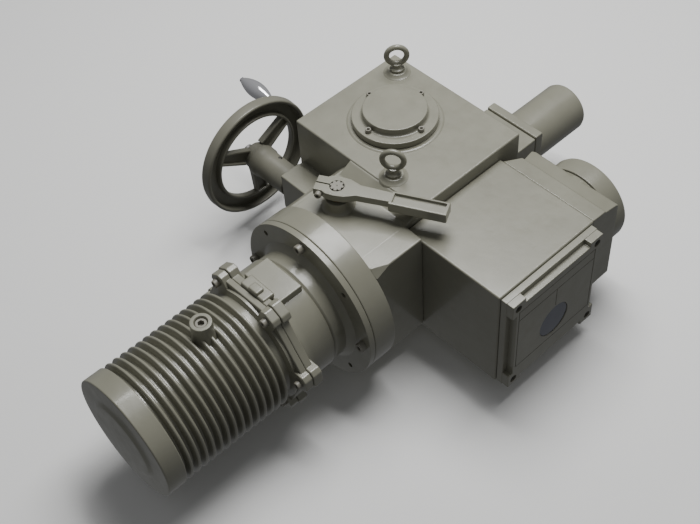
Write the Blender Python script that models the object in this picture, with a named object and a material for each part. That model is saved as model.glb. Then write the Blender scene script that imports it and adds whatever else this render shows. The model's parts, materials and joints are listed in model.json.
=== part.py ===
"""Motorised multi-turn valve actuator: worm gear case, finned motor, control box, handwheel.

Lengths are in millimetres until they reach the mesh.  The output axis is vertical (+Z) through
x = y = 0 and the floor is z = 0.  The worm and the motor share one axis that runs along Y.
"""
import math

import bmesh
import bpy
from mathutils import Vector

for old in list(bpy.data.objects):
    bpy.data.objects.remove(old, do_unlink=True)

# ---------------------------------------------------------------- driving dimensions (mm)
MM = 0.001
GAP = 0.3                      # clearance between neighbouring pieces

# worm pair
MODULE = 4.0
WHEEL_TEETH = 39
WORM_PITCH_R = 19.5
WHEEL_PITCH_R = MODULE * WHEEL_TEETH / 2
CENTRE = WHEEL_PITCH_R + WORM_PITCH_R
LEAD = math.pi * MODULE
FLANK = math.tan(math.radians(20))
BACKLASH = 0.45                # taken off each flank
WHEEL_W = 34.0

AX = CENTRE                    # worm and motor axis
AZ = 138.0

# gear case
TOP = 258.0
CASE_X0 = -115.5
CASE_X1 = 166.0
CASE_Y = 112.5
WALL = 12.0
BASE_T = 22.0
BASE_R = 105.0
SEAT_R = 79.0
COVER_R = 70.5
COVER_T = 13.5
CAP_R = 52.5
CAP_H = 26.0
COVER_BOLT_R = 59.0
CORE_R = 55.0
VALVE_PCD = 165.0              # valve bolt circle of a 210 mm flange, blind tapped holes
VALVE_TAP_R = 8.75
SPIGOT_OUT = 84.0              # outside of the spigot on the valve flange
COVER_IN = 44.3
JOURNAL_R = 13.8

# neck between gear case and motor
NECK_X1 = 201.0
NECK_TOP = 243.0
NECK_BOT = 39.0
NECK_STEP_Y = -142.2
COLLAR_R = 138.0
COLLAR_Y0 = -277.0
COLLAR_Y1 = -236.0
NECK_CORE_R = 88.0
NECK_CORE_Y = -106.0
MAIN_CORE_Y = 88.0

# output drive
SLEEVE_R = 40.0
SLEEVE_BORE = 24.0
BEAR_T = 20.0
BEAR_R = 60.0

# rear spring tube
BOSS_HALF = 54.0
BOSS_Y = 172.0
TUBE_R = 44.0
TUBE_IN = 37.0
TUBE_END = 320.0
TUBE_PLATE = 17.0

# clutch
APEX_Y = -140.0
BEVEL_MODULE = 4.0
PINION_TEETH = 12
BEVEL_TEETH = 24
BEVEL_FACE = 14.0
SLIDE = 14.0
SPLINE_R = 15.0
SPLINE_DEEP = 1.0
GROOVE_Y = -180.5
SLEEVE_Y0 = -204.0
SLEEVE_Y1 = -158.0
DOG_L = 6.0
DOGS = 4

# declutch lever
LEVER_X = 59.5
LEVER_Y = GROOVE_Y
LEVER_DIR = math.radians(28)
LEVER_Z = 270.0
LEVER_T = 13.0
LEVER_LEN = 174.0
GRIP_L = 90.0
GRIP_W = 27.0
PIVOT_R = 10.0

# handwheel
HW_Y = APEX_Y
HW_R = 110.5
HW_IN = 78.0
HW_X0 = -217.5
HW_X1 = -195.0
HUB_R = 30.0
HUB_X0 = -199.0
HUB_X1 = -109.0
SPOKE_X0 = -210.0
HW_SHAFT_R = 10.0
BRACKET_X0 = -106.5
BRACKET_X1 = -43.0
BRACKET_Y0 = -164.0
BRACKET_Y1 = -123.0
BRACKET_Z0 = 100.5
BRACKET_Z1 = 175.0
SPOKES = 3
CRANK_ANG = math.radians(54)
CRANK_R = 98.0
CRANK_L = 75.0

# motor
FLANGE_Y0 = -288.0
SPIGOT_R = 95.0
GROOVE_RING_Y = -320.5
ADAPTER_R = 97.0
LUG_Y0 = -371.0
LUG_SPLIT = -388.0
LUG_Y1 = -403.0
LUG_OUT = 125.0
LUG_W = 36.0
LUGS = 6
LUG_PHASE = math.radians(3)
FIN_R = 101.5
FIN_ROOT = 90.5
FIN_COUNT = 14
FIN_FIRST = -421.0
FIN_PITCH = 13.6
MOTOR_END = -608.0
MOTOR_BORE = 80.0
END_Y = -641.0
PLUG_Y = -478.0
PLUG_R = 16.5
PLUG_TOP = 122.0

# control box
BOX_X0 = CASE_X1 + GAP
BOX_X1 = 355.5
BOX_Y0 = -141.8
BOX_Y1 = 67.0
BOX_Z0 = 30.0
BOX_Z1 = 234.5
COVER_X1 = 379.5
COVER_Y0 = -140.0
COVER_Y1 = 60.0
COVER_Z0 = 33.0
COVER_Z1 = 232.0
LUG_SIDE = 28.0
PANEL_IN = 9.0
WINDOW_R = 31.5
WINDOW_Y = -40.0
WINDOW_Z = 114.0
TERM_Z0 = 63.0
TERM_Y1 = 128.0
PLUG_COVER_R = 73.5
PLUG_COVER_X = 276.0
PLUG_COVER_Z = 155.0
PLUG_COVER_Y1 = 166.0
GLAND_X = 320.0
GLAND_Y = 98.0

SEG = 24                       # facets of large, motor and small round parts
SEG_M = 20
SEG_S = 16
RUN = 0.9                      # radial room round a turning part of many facets

# ---------------------------------------------------------------- materials
PAINT = (0.30, 0.29, 0.25, 1.0)
COLOURS = {
    "paint": (PAINT, 0.0, 0.42),
    "dark_paint": ((0.16, 0.155, 0.13, 1.0), 0.0, 0.45),
    "steel": ((0.55, 0.55, 0.56, 1.0), 1.0, 0.32),
    "dark_steel": ((0.20, 0.20, 0.21, 1.0), 1.0, 0.40),
    "bronze": ((0.62, 0.42, 0.18, 1.0), 1.0, 0.35),
    "chrome": ((0.86, 0.87, 0.88, 1.0), 1.0, 0.07),
    "rubber": ((0.03, 0.03, 0.03, 1.0), 0.0, 0.75),
    "copper": ((0.72, 0.36, 0.20, 1.0), 1.0, 0.45),
    "glass": ((0.05, 0.07, 0.11, 1.0), 0.0, 0.08),
    "plastic": ((0.06, 0.06, 0.065, 1.0), 0.0, 0.50),
    "board": ((0.03, 0.22, 0.10, 1.0), 0.0, 0.50),
}


def material_for(node, kind):
    """Each sub-part has a Principled material of its own, named after it."""
    colour, metal, rough = COLOURS[kind]
    mat = bpy.data.materials.new(node)
    mat.use_nodes = True
    shader = mat.node_tree.nodes["Principled BSDF"]
    shader.inputs["Base Color"].default_value = colour
    shader.inputs["Metallic"].default_value = metal
    shader.inputs["Roughness"].default_value = rough
    mat.diffuse_color = colour
    return mat


# ---------------------------------------------------------------- mesh helpers
def place(axis, along, radius, angle):
    """Point at a radius and right-hand angle about an axis direction."""
    c = radius * math.cos(angle)
    s = radius * math.sin(angle)
    if axis == "Z":
        return Vector((c, s, along))
    if axis == "X":
        return Vector((along, c, s))
    return Vector((s, along, c))


def finish(name, verts, faces, kind, pivot, cutter=False, smooth=True):
    """Make one object whose origin is the pivot, from points in millimetres."""
    mesh = bpy.data.meshes.new(name)
    base = Vector(pivot)
    mesh.from_pydata([(Vector(v) - base) * MM for v in verts], [], faces)
    work = bmesh.new()
    work.from_mesh(mesh)
    bmesh.ops.remove_doubles(work, verts=work.verts, dist=0.000001)
    bmesh.ops.recalc_face_normals(work, faces=work.faces)
    work.to_mesh(mesh)
    work.free()
    for face in mesh.polygons:
        face.use_smooth = smooth
    mesh.set_sharp_from_angle(angle=math.radians(34))
    obj = bpy.data.objects.new(name, mesh)
    obj.location = base * MM
    bpy.context.scene.collection.objects.link(obj)
    if cutter:
        obj.hide_render = True
        obj.display_type = "WIRE"
    else:
        mesh.materials.append(material_for(name, kind))
    return obj


def ring_faces(rings, segs, closed):
    """Quads between successive rings, with caps where the stack is open."""
    faces = []
    spans = len(rings) if closed else len(rings) - 1
    for i in range(spans):
        a = rings[i]
        b = rings[(i + 1) % len(rings)]
        for j in range(segs):
            k = (j + 1) % segs
            quad = [a[j], a[k], b[k], b[j]]
            faces.append(list(dict.fromkeys(quad)))
    return faces


def lathe(name, profile, axis, centre, kind="steel", segs=SEG_S, cutter=False, spin=0.0,
          pivot=None):
    """Solid of revolution.  Profile points are (along, radius); radius 0 closes on the axis."""
    verts = []
    rings = []
    base = Vector(centre)
    for along, radius in profile:
        if radius <= 0.0:
            verts.append(base + place(axis, along, 0.0, 0.0))
            rings.append([len(verts) - 1] * segs)
            continue
        row = []
        for j in range(segs):
            angle = spin + 2 * math.pi * j / segs
            verts.append(base + place(axis, along, radius, angle))
            row.append(len(verts) - 1)
        rings.append(row)
    closed = profile[0][1] > 0.0 or profile[-1][1] > 0.0
    faces = [f for f in ring_faces(rings, segs, closed) if len(f) > 2]
    return finish(name, verts, faces, kind, pivot or centre, cutter)


def prism(name, outline, axis, low, high, kind="steel", cutter=False, pivot=None, smooth=False):
    """Extrude an outline.  Outline pairs are (y, z) for X, (x, z) for Y and (x, y) for Z."""
    verts = []
    for level in (low, high):
        for u, v in outline:
            if axis == "X":
                verts.append((level, u, v))
            elif axis == "Y":
                verts.append((u, level, v))
            else:
                verts.append((u, v, level))
    n = len(outline)
    faces = [list(range(n)), list(range(n, 2 * n))]
    for i in range(n):
        k = (i + 1) % n
        faces.append([i, k, n + k, n + i])
    return finish(name, verts, faces, kind, pivot or (0, 0, 0), cutter, smooth)


def rounded(u0, u1, v0, v1, radius, steps=3):
    """Rectangle outline with rounded corners."""
    points = []
    corners = ((u1, v1, 0), (u0, v1, 90), (u0, v0, 180), (u1, v0, 270))
    for u, v, start in corners:
        cu = u - math.copysign(radius, u - (u0 + u1) / 2)
        cv = v - math.copysign(radius, v - (v0 + v1) / 2)
        for s in range(steps + 1):
            angle = math.radians(start + 90 * s / steps)
            points.append((cu + radius * math.cos(angle), cv + radius * math.sin(angle)))
    return points


def soft_box(name, x, y, z, radius, kind="paint", cutter=False, pivot=None, steps=2):
    """Box with rounded upright edges and a small chamfer on its top and bottom edges."""
    chamfer = radius * 0.35
    verts = []
    rings = []
    for inset, level in ((chamfer, z[0]), (0, z[0] + chamfer), (0, z[1] - chamfer),
                         (chamfer, z[1])):
        outline = rounded(x[0] + inset, x[1] - inset, y[0] + inset, y[1] - inset,
                          radius, steps)
        row = []
        for u, v in outline:
            verts.append((u, v, level))
            row.append(len(verts) - 1)
        rings.append(row)
    faces = ring_faces(rings, len(rings[0]), False)
    faces.append(rings[0])
    faces.append(rings[-1])
    return finish(name, verts, faces, kind, pivot or (0, 0, 0), cutter, False)


def plain_box(name, x, y, z, kind="paint", cutter=False, pivot=None):
    outline = [(x[0], y[0]), (x[1], y[0]), (x[1], y[1]), (x[0], y[1])]
    return prism(name, outline, "Z", z[0], z[1], kind, cutter, pivot)


ADDED = {}
TAKEN = {}


def cut(target, *tools):
    """Note shapes to be taken out of the target."""
    TAKEN.setdefault(target.name, []).extend(tools)


def fuse(target, *tools):
    """Note shapes to be fused onto the target."""
    ADDED.setdefault(target.name, []).extend(tools)


def apply_tools():
    """One union and then one difference per target, each with a collection of shapes."""
    for notes, mode in ((ADDED, "UNION"), (TAKEN, "DIFFERENCE")):
        for name, tools in notes.items():
            group = bpy.data.collections.new(name + "_" + mode.lower())
            bpy.context.scene.collection.children.link(group)
            for tool in tools:
                bpy.context.scene.collection.objects.unlink(tool)
                group.objects.link(tool)
            target = bpy.data.objects[name]
            if target.modifiers:
                target.modifiers.new("flat_faces", "TRIANGULATE")
            mod = target.modifiers.new(mode.lower(), "BOOLEAN")
            mod.operation = mode
            mod.solver = "EXACT"
            mod.operand_type = "COLLECTION"
            mod.collection = group


def drill(target, name, axis, centre, radius, low, high, segs=SEG_S):
    """Round hole from low to high along the axis."""
    tool = lathe(name, [(low, 0), (low, radius), (high, radius), (high, 0)], axis, centre,
                 segs=segs, cutter=True)
    cut(target, tool)


def socket_screw(name, axis, centre, sign, head_r, head_h, shank_r, shank_l, kind="dark_steel"):
    """Cap screw with a key socket; the head points along the sign of the axis."""
    key = head_r * 0.50
    segs = 8
    top = head_h * sign
    verts = []
    rings = []
    profile = [(-shank_l * sign, shank_r), (0.0, shank_r), (0.0, head_r), (top, head_r),
               (top, key), (top - head_h * 0.5 * sign, key)]
    for along, radius in profile:
        row = []
        for j in range(segs):
            angle = 2 * math.pi * j / segs
            verts.append(Vector(centre) + place(axis, along, radius, angle))
            row.append(len(verts) - 1)
        rings.append(row)
    faces = ring_faces(rings, segs, False)
    faces.append(rings[0])
    faces.append(rings[-1])
    return finish(name, verts, faces, kind, centre)


# ---------------------------------------------------------------- gear case
def build_case():
    case = soft_box("gear_housing", (CASE_X0, CASE_X1), (-CASE_Y, CASE_Y),
                    (BASE_T + GAP, TOP), 7.0)
    # cylindrical collar that carries the motor flange, and the round part of the neck
    collar = lathe("add_collar", [(COLLAR_Y0, 0), (COLLAR_Y0, COLLAR_R), (COLLAR_Y1, COLLAR_R),
                                  (COLLAR_Y1, 0)], "Y", (AX, 0, AZ), segs=SEG, cutter=True)
    drum = lathe("add_drum", [(COLLAR_Y1 - 8, 0), (COLLAR_Y1 - 8, COLLAR_R - 1.6),
                              (-CASE_Y + 6, COLLAR_R - 1.6), (-CASE_Y + 6, 0)],
                 "Y", (AX, 0, AZ), segs=SEG, cutter=True)
    trim_top = plain_box("trim_top", (AX - 200, AX + 200), (COLLAR_Y1, -60),
                         (NECK_TOP - 0.6, TOP + 60), cutter=True)
    trim_side = plain_box("trim_side", (CASE_X1 - 0.4, AX + 220), (NECK_STEP_Y - 0.5, -60),
                          (-60, TOP + 60), cutter=True)
    trim_right = plain_box("trim_right", (NECK_X1 - 0.5, AX + 220), (COLLAR_Y1, -60),
                           (-60, TOP + 60), cutter=True)
    cut(drum, trim_top, trim_side, trim_right)
    slope = [(COLLAR_Y1 - 8, NECK_BOT), (-CASE_Y + 6, NECK_BOT), (-CASE_Y + 6, TOP - 2),
             (-CASE_Y - 1, TOP - 2), (NECK_STEP_Y + 4, NECK_TOP), (COLLAR_Y1 - 8, NECK_TOP)]
    block = prism("add_neck", slope, "X", AX - 84, CASE_X1 - 0.6, cutter=True)
    side = soft_box("add_neck_side", (AX, NECK_X1), (COLLAR_Y1 - 8, NECK_STEP_Y),
                    (NECK_BOT - 0.5, NECK_TOP - 0.3), 3.0, cutter=True)
    rear = soft_box("add_rear_boss", (AX - BOSS_HALF, AX + BOSS_HALF), (CASE_Y - 12, BOSS_Y),
                    (AZ - BOSS_HALF + 4, AZ + BOSS_HALF + 2), 4.0, cutter=True)
    link = plain_box("add_pad_link", (BRACKET_X0, 10), (BRACKET_Y1 + GAP, -CASE_Y + 4),
                     (BRACKET_Z0 + 2, BRACKET_Z1 - 3), cutter=True)
    pad = plain_box("add_pad", (BRACKET_X1 + GAP, 10), (BRACKET_Y0, BRACKET_Y1),
                    (BRACKET_Z0, BRACKET_Z1), cutter=True)
    boss = lathe("add_lever_boss", [(NECK_TOP - 8, 0), (NECK_TOP - 8, 26), (NECK_TOP + 1, 23),
                                    (NECK_TOP + 18, 20), (NECK_TOP + 18, 0)], "Z",
                 (LEVER_X, LEVER_Y, 0), cutter=True)
    seat = lathe("add_seat", [(TOP - 5, 0), (TOP - 5, SEAT_R + 2), (TOP + 1.5, SEAT_R),
                              (TOP + 1.5, 0)], "Z", (0, 0, 0), segs=SEG, cutter=True)
    fuse(case, collar, drum, block, side, rear, link, pad, boss, seat)
    for tag, x, y in (("a", EYE_A[0], EYE_A[1]), ("b", EYE_B[0], EYE_B[1])):
        mound = lathe("add_eye_boss_" + tag, [(TOP - 5, 0), (TOP - 5, 23), (TOP + 4, 18),
                                              (TOP + 6, 15.5), (TOP + 6, 0)], "Z", (x, y, 0),
                      segs=12, cutter=True)
        fuse(case, mound)
    # hollows
    main = soft_box("cut_main", (CASE_X0 + WALL, CASE_X1 - WALL), (-MAIN_CORE_Y, CASE_Y - WALL),
                    (BASE_T + WALL, TOP - WALL), 14.0, cutter=True)
    neck = lathe("cut_neck", [(COLLAR_Y0 - 10, 0), (COLLAR_Y0 - 10, NECK_CORE_R),
                              (NECK_CORE_Y, NECK_CORE_R), (NECK_CORE_Y, 0)], "Y",
                 (AX, 0, AZ), segs=SEG, cutter=True)
    cut(case, main, neck)
    drill(case, "cut_top_bore", "Z", (0, 0, 0), CORE_R, TOP - 40, TOP + 20, SEG)
    drill(case, "cut_base_bore", "Z", (0, 0, 0), SPIGOT_OUT + GAP, 0, BASE_T + 30, SEG)
    drill(case, "cut_bearing_a", "Y", (AX, 0, AZ), WORM_BEAR_R + GAP, -150, -MAIN_CORE_Y + 20)
    drill(case, "cut_bearing_b", "Y", (AX, 0, AZ), WORM_BEAR_R + GAP, 90, BOSS_Y + 20)
    drill(case, "cut_hand_bore", "X", (0, HW_Y, AZ), HW_SHAFT_R + 2.0, BRACKET_X1 - 20, 40)
    drill(case, "cut_lever_bore", "Z", (LEVER_X, LEVER_Y, 0), BUSH_R + GAP, AZ + 40, TOP + 40)
    drill(case, "cut_wire_way", "X", (0, 60, 190), 15.0, CASE_X1 - 40, CASE_X1 + 20, 12)
    for k in range(4):
        angle = math.pi / 2 * k
        centre = Vector((AX, 0, AZ)) + place("Y", 0, FLANGE_BOLT_R, angle)
        drill(case, "cut_flange_tap_%d" % k, "Y", centre, 5.4, COLLAR_Y0 - 5, COLLAR_Y0 + 26, 8)
        centre = place("Z", 0, COVER_BOLT_R, angle)
        drill(case, "cut_cover_tap_%d" % k, "Z", centre, 3.4, TOP - 30, TOP + 10, 8)
    for k, (sx, sz) in enumerate(((1, 1), (-1, 1), (-1, -1), (1, -1))):
        centre = (AX + sx * TUBE_BOLT, 0, AZ + sz * TUBE_BOLT)
        drill(case, "cut_tube_tap_%d" % k, "Y", centre, 4.4, BOSS_Y - 20, BOSS_Y + 5, 8)
    for tag, x, y in (("a", EYE_A[0], EYE_A[1]), ("b", EYE_B[0], EYE_B[1])):
        drill(case, "cut_eye_tap_" + tag, "Z", (x, y, 0), 5.3, TOP - WALL + 2, TOP + 20, 8)
    return case


EYE_A = (-80.0, 83.0)
EYE_B = (89.0, -91.0)
WORM_BEAR_R = 31.0
BUSH_R = 13.0
FLANGE_BOLT_R = 123.0
TUBE_BOLT = 42.0


def build_base():
    """Round valve flange under the case, with a spigot that carries the lower bearing."""
    profile = [(0, BASE_R - 1), (1, BASE_R), (BASE_T - 1, BASE_R), (BASE_T, BASE_R - 1),
               (BASE_T, SPIGOT_OUT), (BASE_T + 20, SPIGOT_OUT),
               (BASE_T + 20, BEAR_R + GAP), (BASE_T + 2, BEAR_R + GAP), (BASE_T + 2, 50.5), (0, 50.5)]
    base = lathe("output_flange", profile, "Z", (0, 0, 0), "paint", SEG)
    for k in range(4):
        angle = math.pi / 4 + math.pi / 2 * k
        centre = place("Z", 0, VALVE_PCD / 2, angle)
        drill(base, "cut_valve_bolt_%d" % k, "Z", centre, VALVE_TAP_R, -5, 18, 12)
    return base


def build_cover():
    profile = [(TOP - 37, COVER_IN), (TOP - 37, CORE_R - GAP), (TOP + 1.8, CORE_R - GAP),
               (TOP + 1.8, COVER_R), (TOP + COVER_T - 1.5, COVER_R),
               (TOP + COVER_T, COVER_R - 1.5), (TOP + COVER_T, CAP_R), (TOP + CAP_H - 2, CAP_R),
               (TOP + CAP_H, CAP_R - 2), (TOP + CAP_H, 0), (TOP + CAP_H - 7, 0),
               (TOP + CAP_H - 7, COVER_IN)]
    cover = lathe("top_cover", profile, "Z", (0, 0, 0), "paint", SEG)
    for k in range(4):
        centre = place("Z", 0, COVER_BOLT_R, math.pi / 2 * k)
        drill(cover, "cut_cover_hole_%d" % k, "Z", centre, 3.4, TOP - 5, TOP + 30, 8)
        socket_screw("top_cover_screw_%d" % (k + 1), "Z",
                     (centre.x, centre.y, TOP + COVER_T + GAP), 1, 5.0, 6.0, 3.0, 30.0)


def build_eyebolt(tag, spot, turn):
    """Lifting eye: a ring on a round collar and a threaded shank."""
    x, y = spot
    floor = TOP + 6 + GAP
    ring_z = floor + 29.0
    ring_r = 17.0
    wire = 5.2
    steps = 16
    sides = 6
    verts = []
    rings = []
    for i in range(steps):
        angle = 2 * math.pi * i / steps
        row = []
        for j in range(sides):
            side = 2 * math.pi * (j + 0.5) / sides
            out = ring_r + wire * math.cos(side)
            flat = wire * math.sin(side)
            u = out * math.cos(angle)
            w = out * math.sin(angle)
            px = x + u * math.cos(turn) - flat * math.sin(turn)
            py = y + u * math.sin(turn) + flat * math.cos(turn)
            verts.append((px, py, ring_z + w))
            row.append(len(verts) - 1)
        rings.append(row)
    faces = ring_faces(rings, sides, True)
    eye = finish("lifting_eye_" + tag, verts, faces, "paint", (x, y, floor))
    stem = lathe("add_eye_stem_" + tag, [(floor - 14, 0), (floor - 14, 4.6), (floor, 4.6),
                                         (floor, 12.5), (floor + 3, 12.5), (floor + 7, 7.0),
                                         (ring_z - ring_r, 6.0), (ring_z - ring_r, 0)], "Z",
                 (x, y, 0), segs=12, cutter=True, spin=0.1)
    fuse(eye, stem)


# ---------------------------------------------------------------- worm drive
def build_worm_wheel():
    teeth = WHEEL_TEETH
    half = math.pi * MODULE / 4 - BACKLASH
    tip_r = WHEEL_PITCH_R + MODULE
    root_r = WHEEL_PITCH_R - 1.2 * MODULE
    tip_h = half - MODULE * FLANK
    root_h = half + 1.2 * MODULE * FLANK
    lean = LEAD / (2 * math.pi * WORM_PITCH_R) / WHEEL_PITCH_R
    verts = []
    rows = []
    for level in (-WHEEL_W / 2, WHEEL_W / 2):
        row = []
        for t in range(teeth):
            mid = 2 * math.pi * (t + 0.5) / teeth + lean * level
            for r, h in ((root_r, -root_h), (tip_r, -tip_h), (tip_r, tip_h), (root_r, root_h)):
                verts.append(place("Z", AZ + level, r, mid + h / r))
                row.append(len(verts) - 1)
        rows.append(row)
    faces = ring_faces(rows, len(rows[0]), False)
    faces += rows
    wheel = finish("worm_wheel", verts, faces, "bronze", (0, 0, AZ))
    drill(wheel, "cut_wheel_bore", "Z", (0, 0, 0), SLEEVE_R + GAP, AZ - 30, AZ + 30, SEG_S)


def build_worm_shaft():
    """Single-start right-hand worm with its stepped shaft, one closed skin."""
    segs = SEG_S
    half = math.pi * MODULE / 4 - BACKLASH
    tip_r = WORM_PITCH_R + MODULE
    root_r = WORM_PITCH_R - 1.2 * MODULE
    tip_h = half - MODULE * FLANK
    root_h = half + 1.2 * MODULE * FLANK
    section = ((-root_h, root_r), (-tip_h, tip_r), (tip_h, tip_r), (root_h, root_r))
    turns = 5
    start = 2                           # whole number: a crest faces the wheel gap at y = 0
    face_side = math.radians(270)       # the side of the worm that meets the wheel
    verts = []
    centre = Vector((AX, 0, AZ))

    def ring(along, radius, spline=False):
        row = []
        for j in range(segs):
            r = radius - SPLINE_DEEP if (spline and j % 2) else radius
            verts.append(centre + place("Y", along, r, 2 * math.pi * j / segs))
            row.append(len(verts) - 1)
        return row

    columns = []
    for j in range(segs):
        angle = 2 * math.pi * j / segs
        column = []
        for turn in range(turns + 1):
            middle = LEAD * ((angle - face_side) / (2 * math.pi) + turn - start)
            for offset, radius in section:
                verts.append(centre + place("Y", middle + offset, radius, angle))
                column.append(len(verts) - 1)
        columns.append(column)
    per_turn = len(section)
    faces = []
    for j in range(segs - 1):
        for i in range(len(columns[j]) - 1):
            faces.append([columns[j][i], columns[j][i + 1], columns[j + 1][i + 1],
                          columns[j + 1][i]])
    last = columns[-1]
    first = columns[0]
    for i in range(len(last) - per_turn - 1 + 1):
        if i + 1 < len(last) and i + 1 + per_turn < len(first):
            faces.append([last[i], last[i + 1], first[i + 1 + per_turn], first[i + per_turn]])
    low = LEAD * (-face_side / (2 * math.pi) - start) - root_h - 3
    high = LEAD * (1 - face_side / (2 * math.pi) + turns - start) + root_h + 3
    stack_a = [ring(a, r, s) for a, r, s in (
        (-233, 10.3, False), (-208.5, 10.3, False), (-208.5, SPLINE_R, True),
        (-151, SPLINE_R, True), (-151, JOURNAL_R, False), (-87, JOURNAL_R, False),
        (-87, root_r, False),
        (low, root_r, False))]
    stack_b = [ring(a, r, s) for a, r, s in (
        (high, root_r, False), (109, root_r, False), (109, JOURNAL_R, False),
        (172, JOURNAL_R, False),
        (172, 11, False), (292, 11, False), (294, 9.5, False))]
    for stack in (stack_a, stack_b):
        faces += ring_faces(stack, segs, False)
    faces.append(stack_a[0])
    faces.append(stack_b[-1])
    end = stack_a[-1]
    for j in range(segs - 1):
        faces.append([end[j], end[j + 1], columns[j + 1][0], columns[j][0]])
    # the thread starts between the last column and the first
    corner = end[-1]
    faces.append([corner, end[0], first[0]])
    for i in range(per_turn):
        faces.append([corner, first[i], first[i + 1]])
    faces.append([corner, first[per_turn], last[0]])
    end = stack_b[0]
    for j in range(segs - 1):
        faces.append([columns[j][-1], columns[j + 1][-1], end[j + 1], end[j]])
    corner = end[0]
    faces.append([corner, end[-1], last[-1]])
    for i in range(per_turn):
        faces.append([corner, last[-1 - i], last[-2 - i]])
    faces.append([corner, last[-1 - per_turn], first[-1]])
    finish("worm_shaft", verts, faces, "steel", (AX, 0, AZ))


def bearing(name, axis, centre, low, high, inner, outer):
    """Rolling bearing drawn as one ring with a race groove on its open face."""
    mid_in = inner + (outer - inner) * 0.34
    mid_out = inner + (outer - inner) * 0.66
    dip = (high - low) * 0.22
    profile = [(low, inner), (low, mid_in), (low + dip, (mid_in + mid_out) / 2),
               (low, mid_out), (low, outer), (high, outer), (high, inner)]
    return lathe(name, profile, axis, centre, "steel", SEG_S)


def ring(name, axis, centre, low, high, inner, outer, kind, segs=SEG_S):
    profile = [(low, inner), (low, outer), (high, outer), (high, inner)]
    return lathe(name, profile, axis, centre, kind, segs)


def build_output():
    """Hollow drive sleeve on two bearings, with keyed lower end for the valve stem."""
    low_bear = BASE_T + 3
    top_bear = TOP - 36
    profile = [(3, SLEEVE_BORE), (3, 36), (low_bear, 36), (low_bear, 36), (AZ - 20, 36),
               (AZ - 20, 44), (AZ - 17.3, 44), (AZ - 17.3, SLEEVE_R), (AZ + 40, SLEEVE_R),
               (AZ + 40, 36), (TOP - 8, 36), (TOP - 8, SLEEVE_BORE)]
    sleeve = lathe("output_sleeve", list(dict.fromkeys(profile)), "Z", (0, 0, 0), "steel")
    for k in range(2):
        side = 1 if k == 0 else -1
        slot = plain_box("cut_dog_%d" % k, (min(side * 20, side * 45), max(side * 20, side * 45)),
                         (-9, 9), (-5, 16), cutter=True)
        cut(sleeve, slot)
    bearing("output_bearing_lower", "Z", (0, 0, 0), low_bear, low_bear + 16, 36 + RUN,
            BEAR_R - 0.6)
    bearing("output_bearing_upper", "Z", (0, 0, 0), top_bear, top_bear + 16, 36 + RUN,
            COVER_IN - 0.7)
    ring("output_seal_lower", "Z", (0, 0, 0), 8, 18, 36 + RUN, 49.8, "rubber")


def build_worm_parts():
    axis = (AX, 0, AZ)
    bearing("worm_bearing_front", "Y", axis, -104, -90, 14 + GAP, WORM_BEAR_R)
    bearing("worm_bearing_rear", "Y", axis, 110, 126, 14 + GAP, WORM_BEAR_R)
    # disc springs back to back on the tail of the worm shaft
    discs = 5
    thick = 2.2
    pitch = 12.0
    start = 182.0
    outer = []
    inner = []
    for k in range(discs):
        y = start + pitch * k
        lean = 3.0 if k % 2 == 0 else -3.0
        outer += [(y + lean, 31.0), (y + thick + lean, 31.0), (y + pitch / 2 + thick / 2, 23.0)]
        inner += [(y - lean * 0.3, 13.0), (y + pitch / 2, 15.0)]
    profile = [(start - 4, 13.0)] + [(start - 4, 22.0)] + outer[:-1]
    profile += [(start + pitch * discs, 22.0), (start + pitch * discs, 13.0)]
    lathe("disc_spring_pack", profile, "Y", axis, "dark_steel", SEG_S)


def bevel(name, teeth, pitch_r, cone_r, kind, axis, toward, phase, back, front):
    """Straight bevel gear whose pitch cone starts at the common apex.

    toward is the sign of the axis direction from the apex to the gear; back and front are the
    (distance from apex, radius) rims of the plain body behind and before the teeth.
    """
    apex = Vector((AX, APEX_Y, AZ))
    across = math.sqrt(cone_r * cone_r - pitch_r * pitch_r)   # apex to gear along its axis
    sin_d = pitch_r / cone_r
    cos_d = across / cone_r
    half = math.pi * BEVEL_MODULE / 4 - 0.35
    add = BEVEL_MODULE
    ded = BEVEL_MODULE * 1.2
    shape = ((-ded, half + ded * FLANK, -1), (add, half - add * FLANK, -1),
             (add, half - add * FLANK, 1), (-ded, half + ded * FLANK, 1))
    inner = (cone_r - BEVEL_FACE) / cone_r
    verts = []
    rows = []
    for level in ("back", 1.0, inner, "front"):
        row = []
        for t in range(teeth):
            mid = phase + 2 * math.pi * t / teeth
            for height, side_h, side in shape:
                angle = mid + side * side_h / pitch_r
                if level in ("back", "front"):
                    h, r = back if level == "back" else front
                else:
                    r = (pitch_r + height * cos_d) * level
                    h = (across - height * sin_d) * level
                verts.append(apex + place(axis, toward * h, r, angle))
                row.append(len(verts) - 1)
        rows.append(row)
    faces = ring_faces(rows, len(rows[0]), False)
    faces.append(rows[0])
    faces.append(rows[-1])
    return finish(name, verts, faces, kind, apex)


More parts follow.
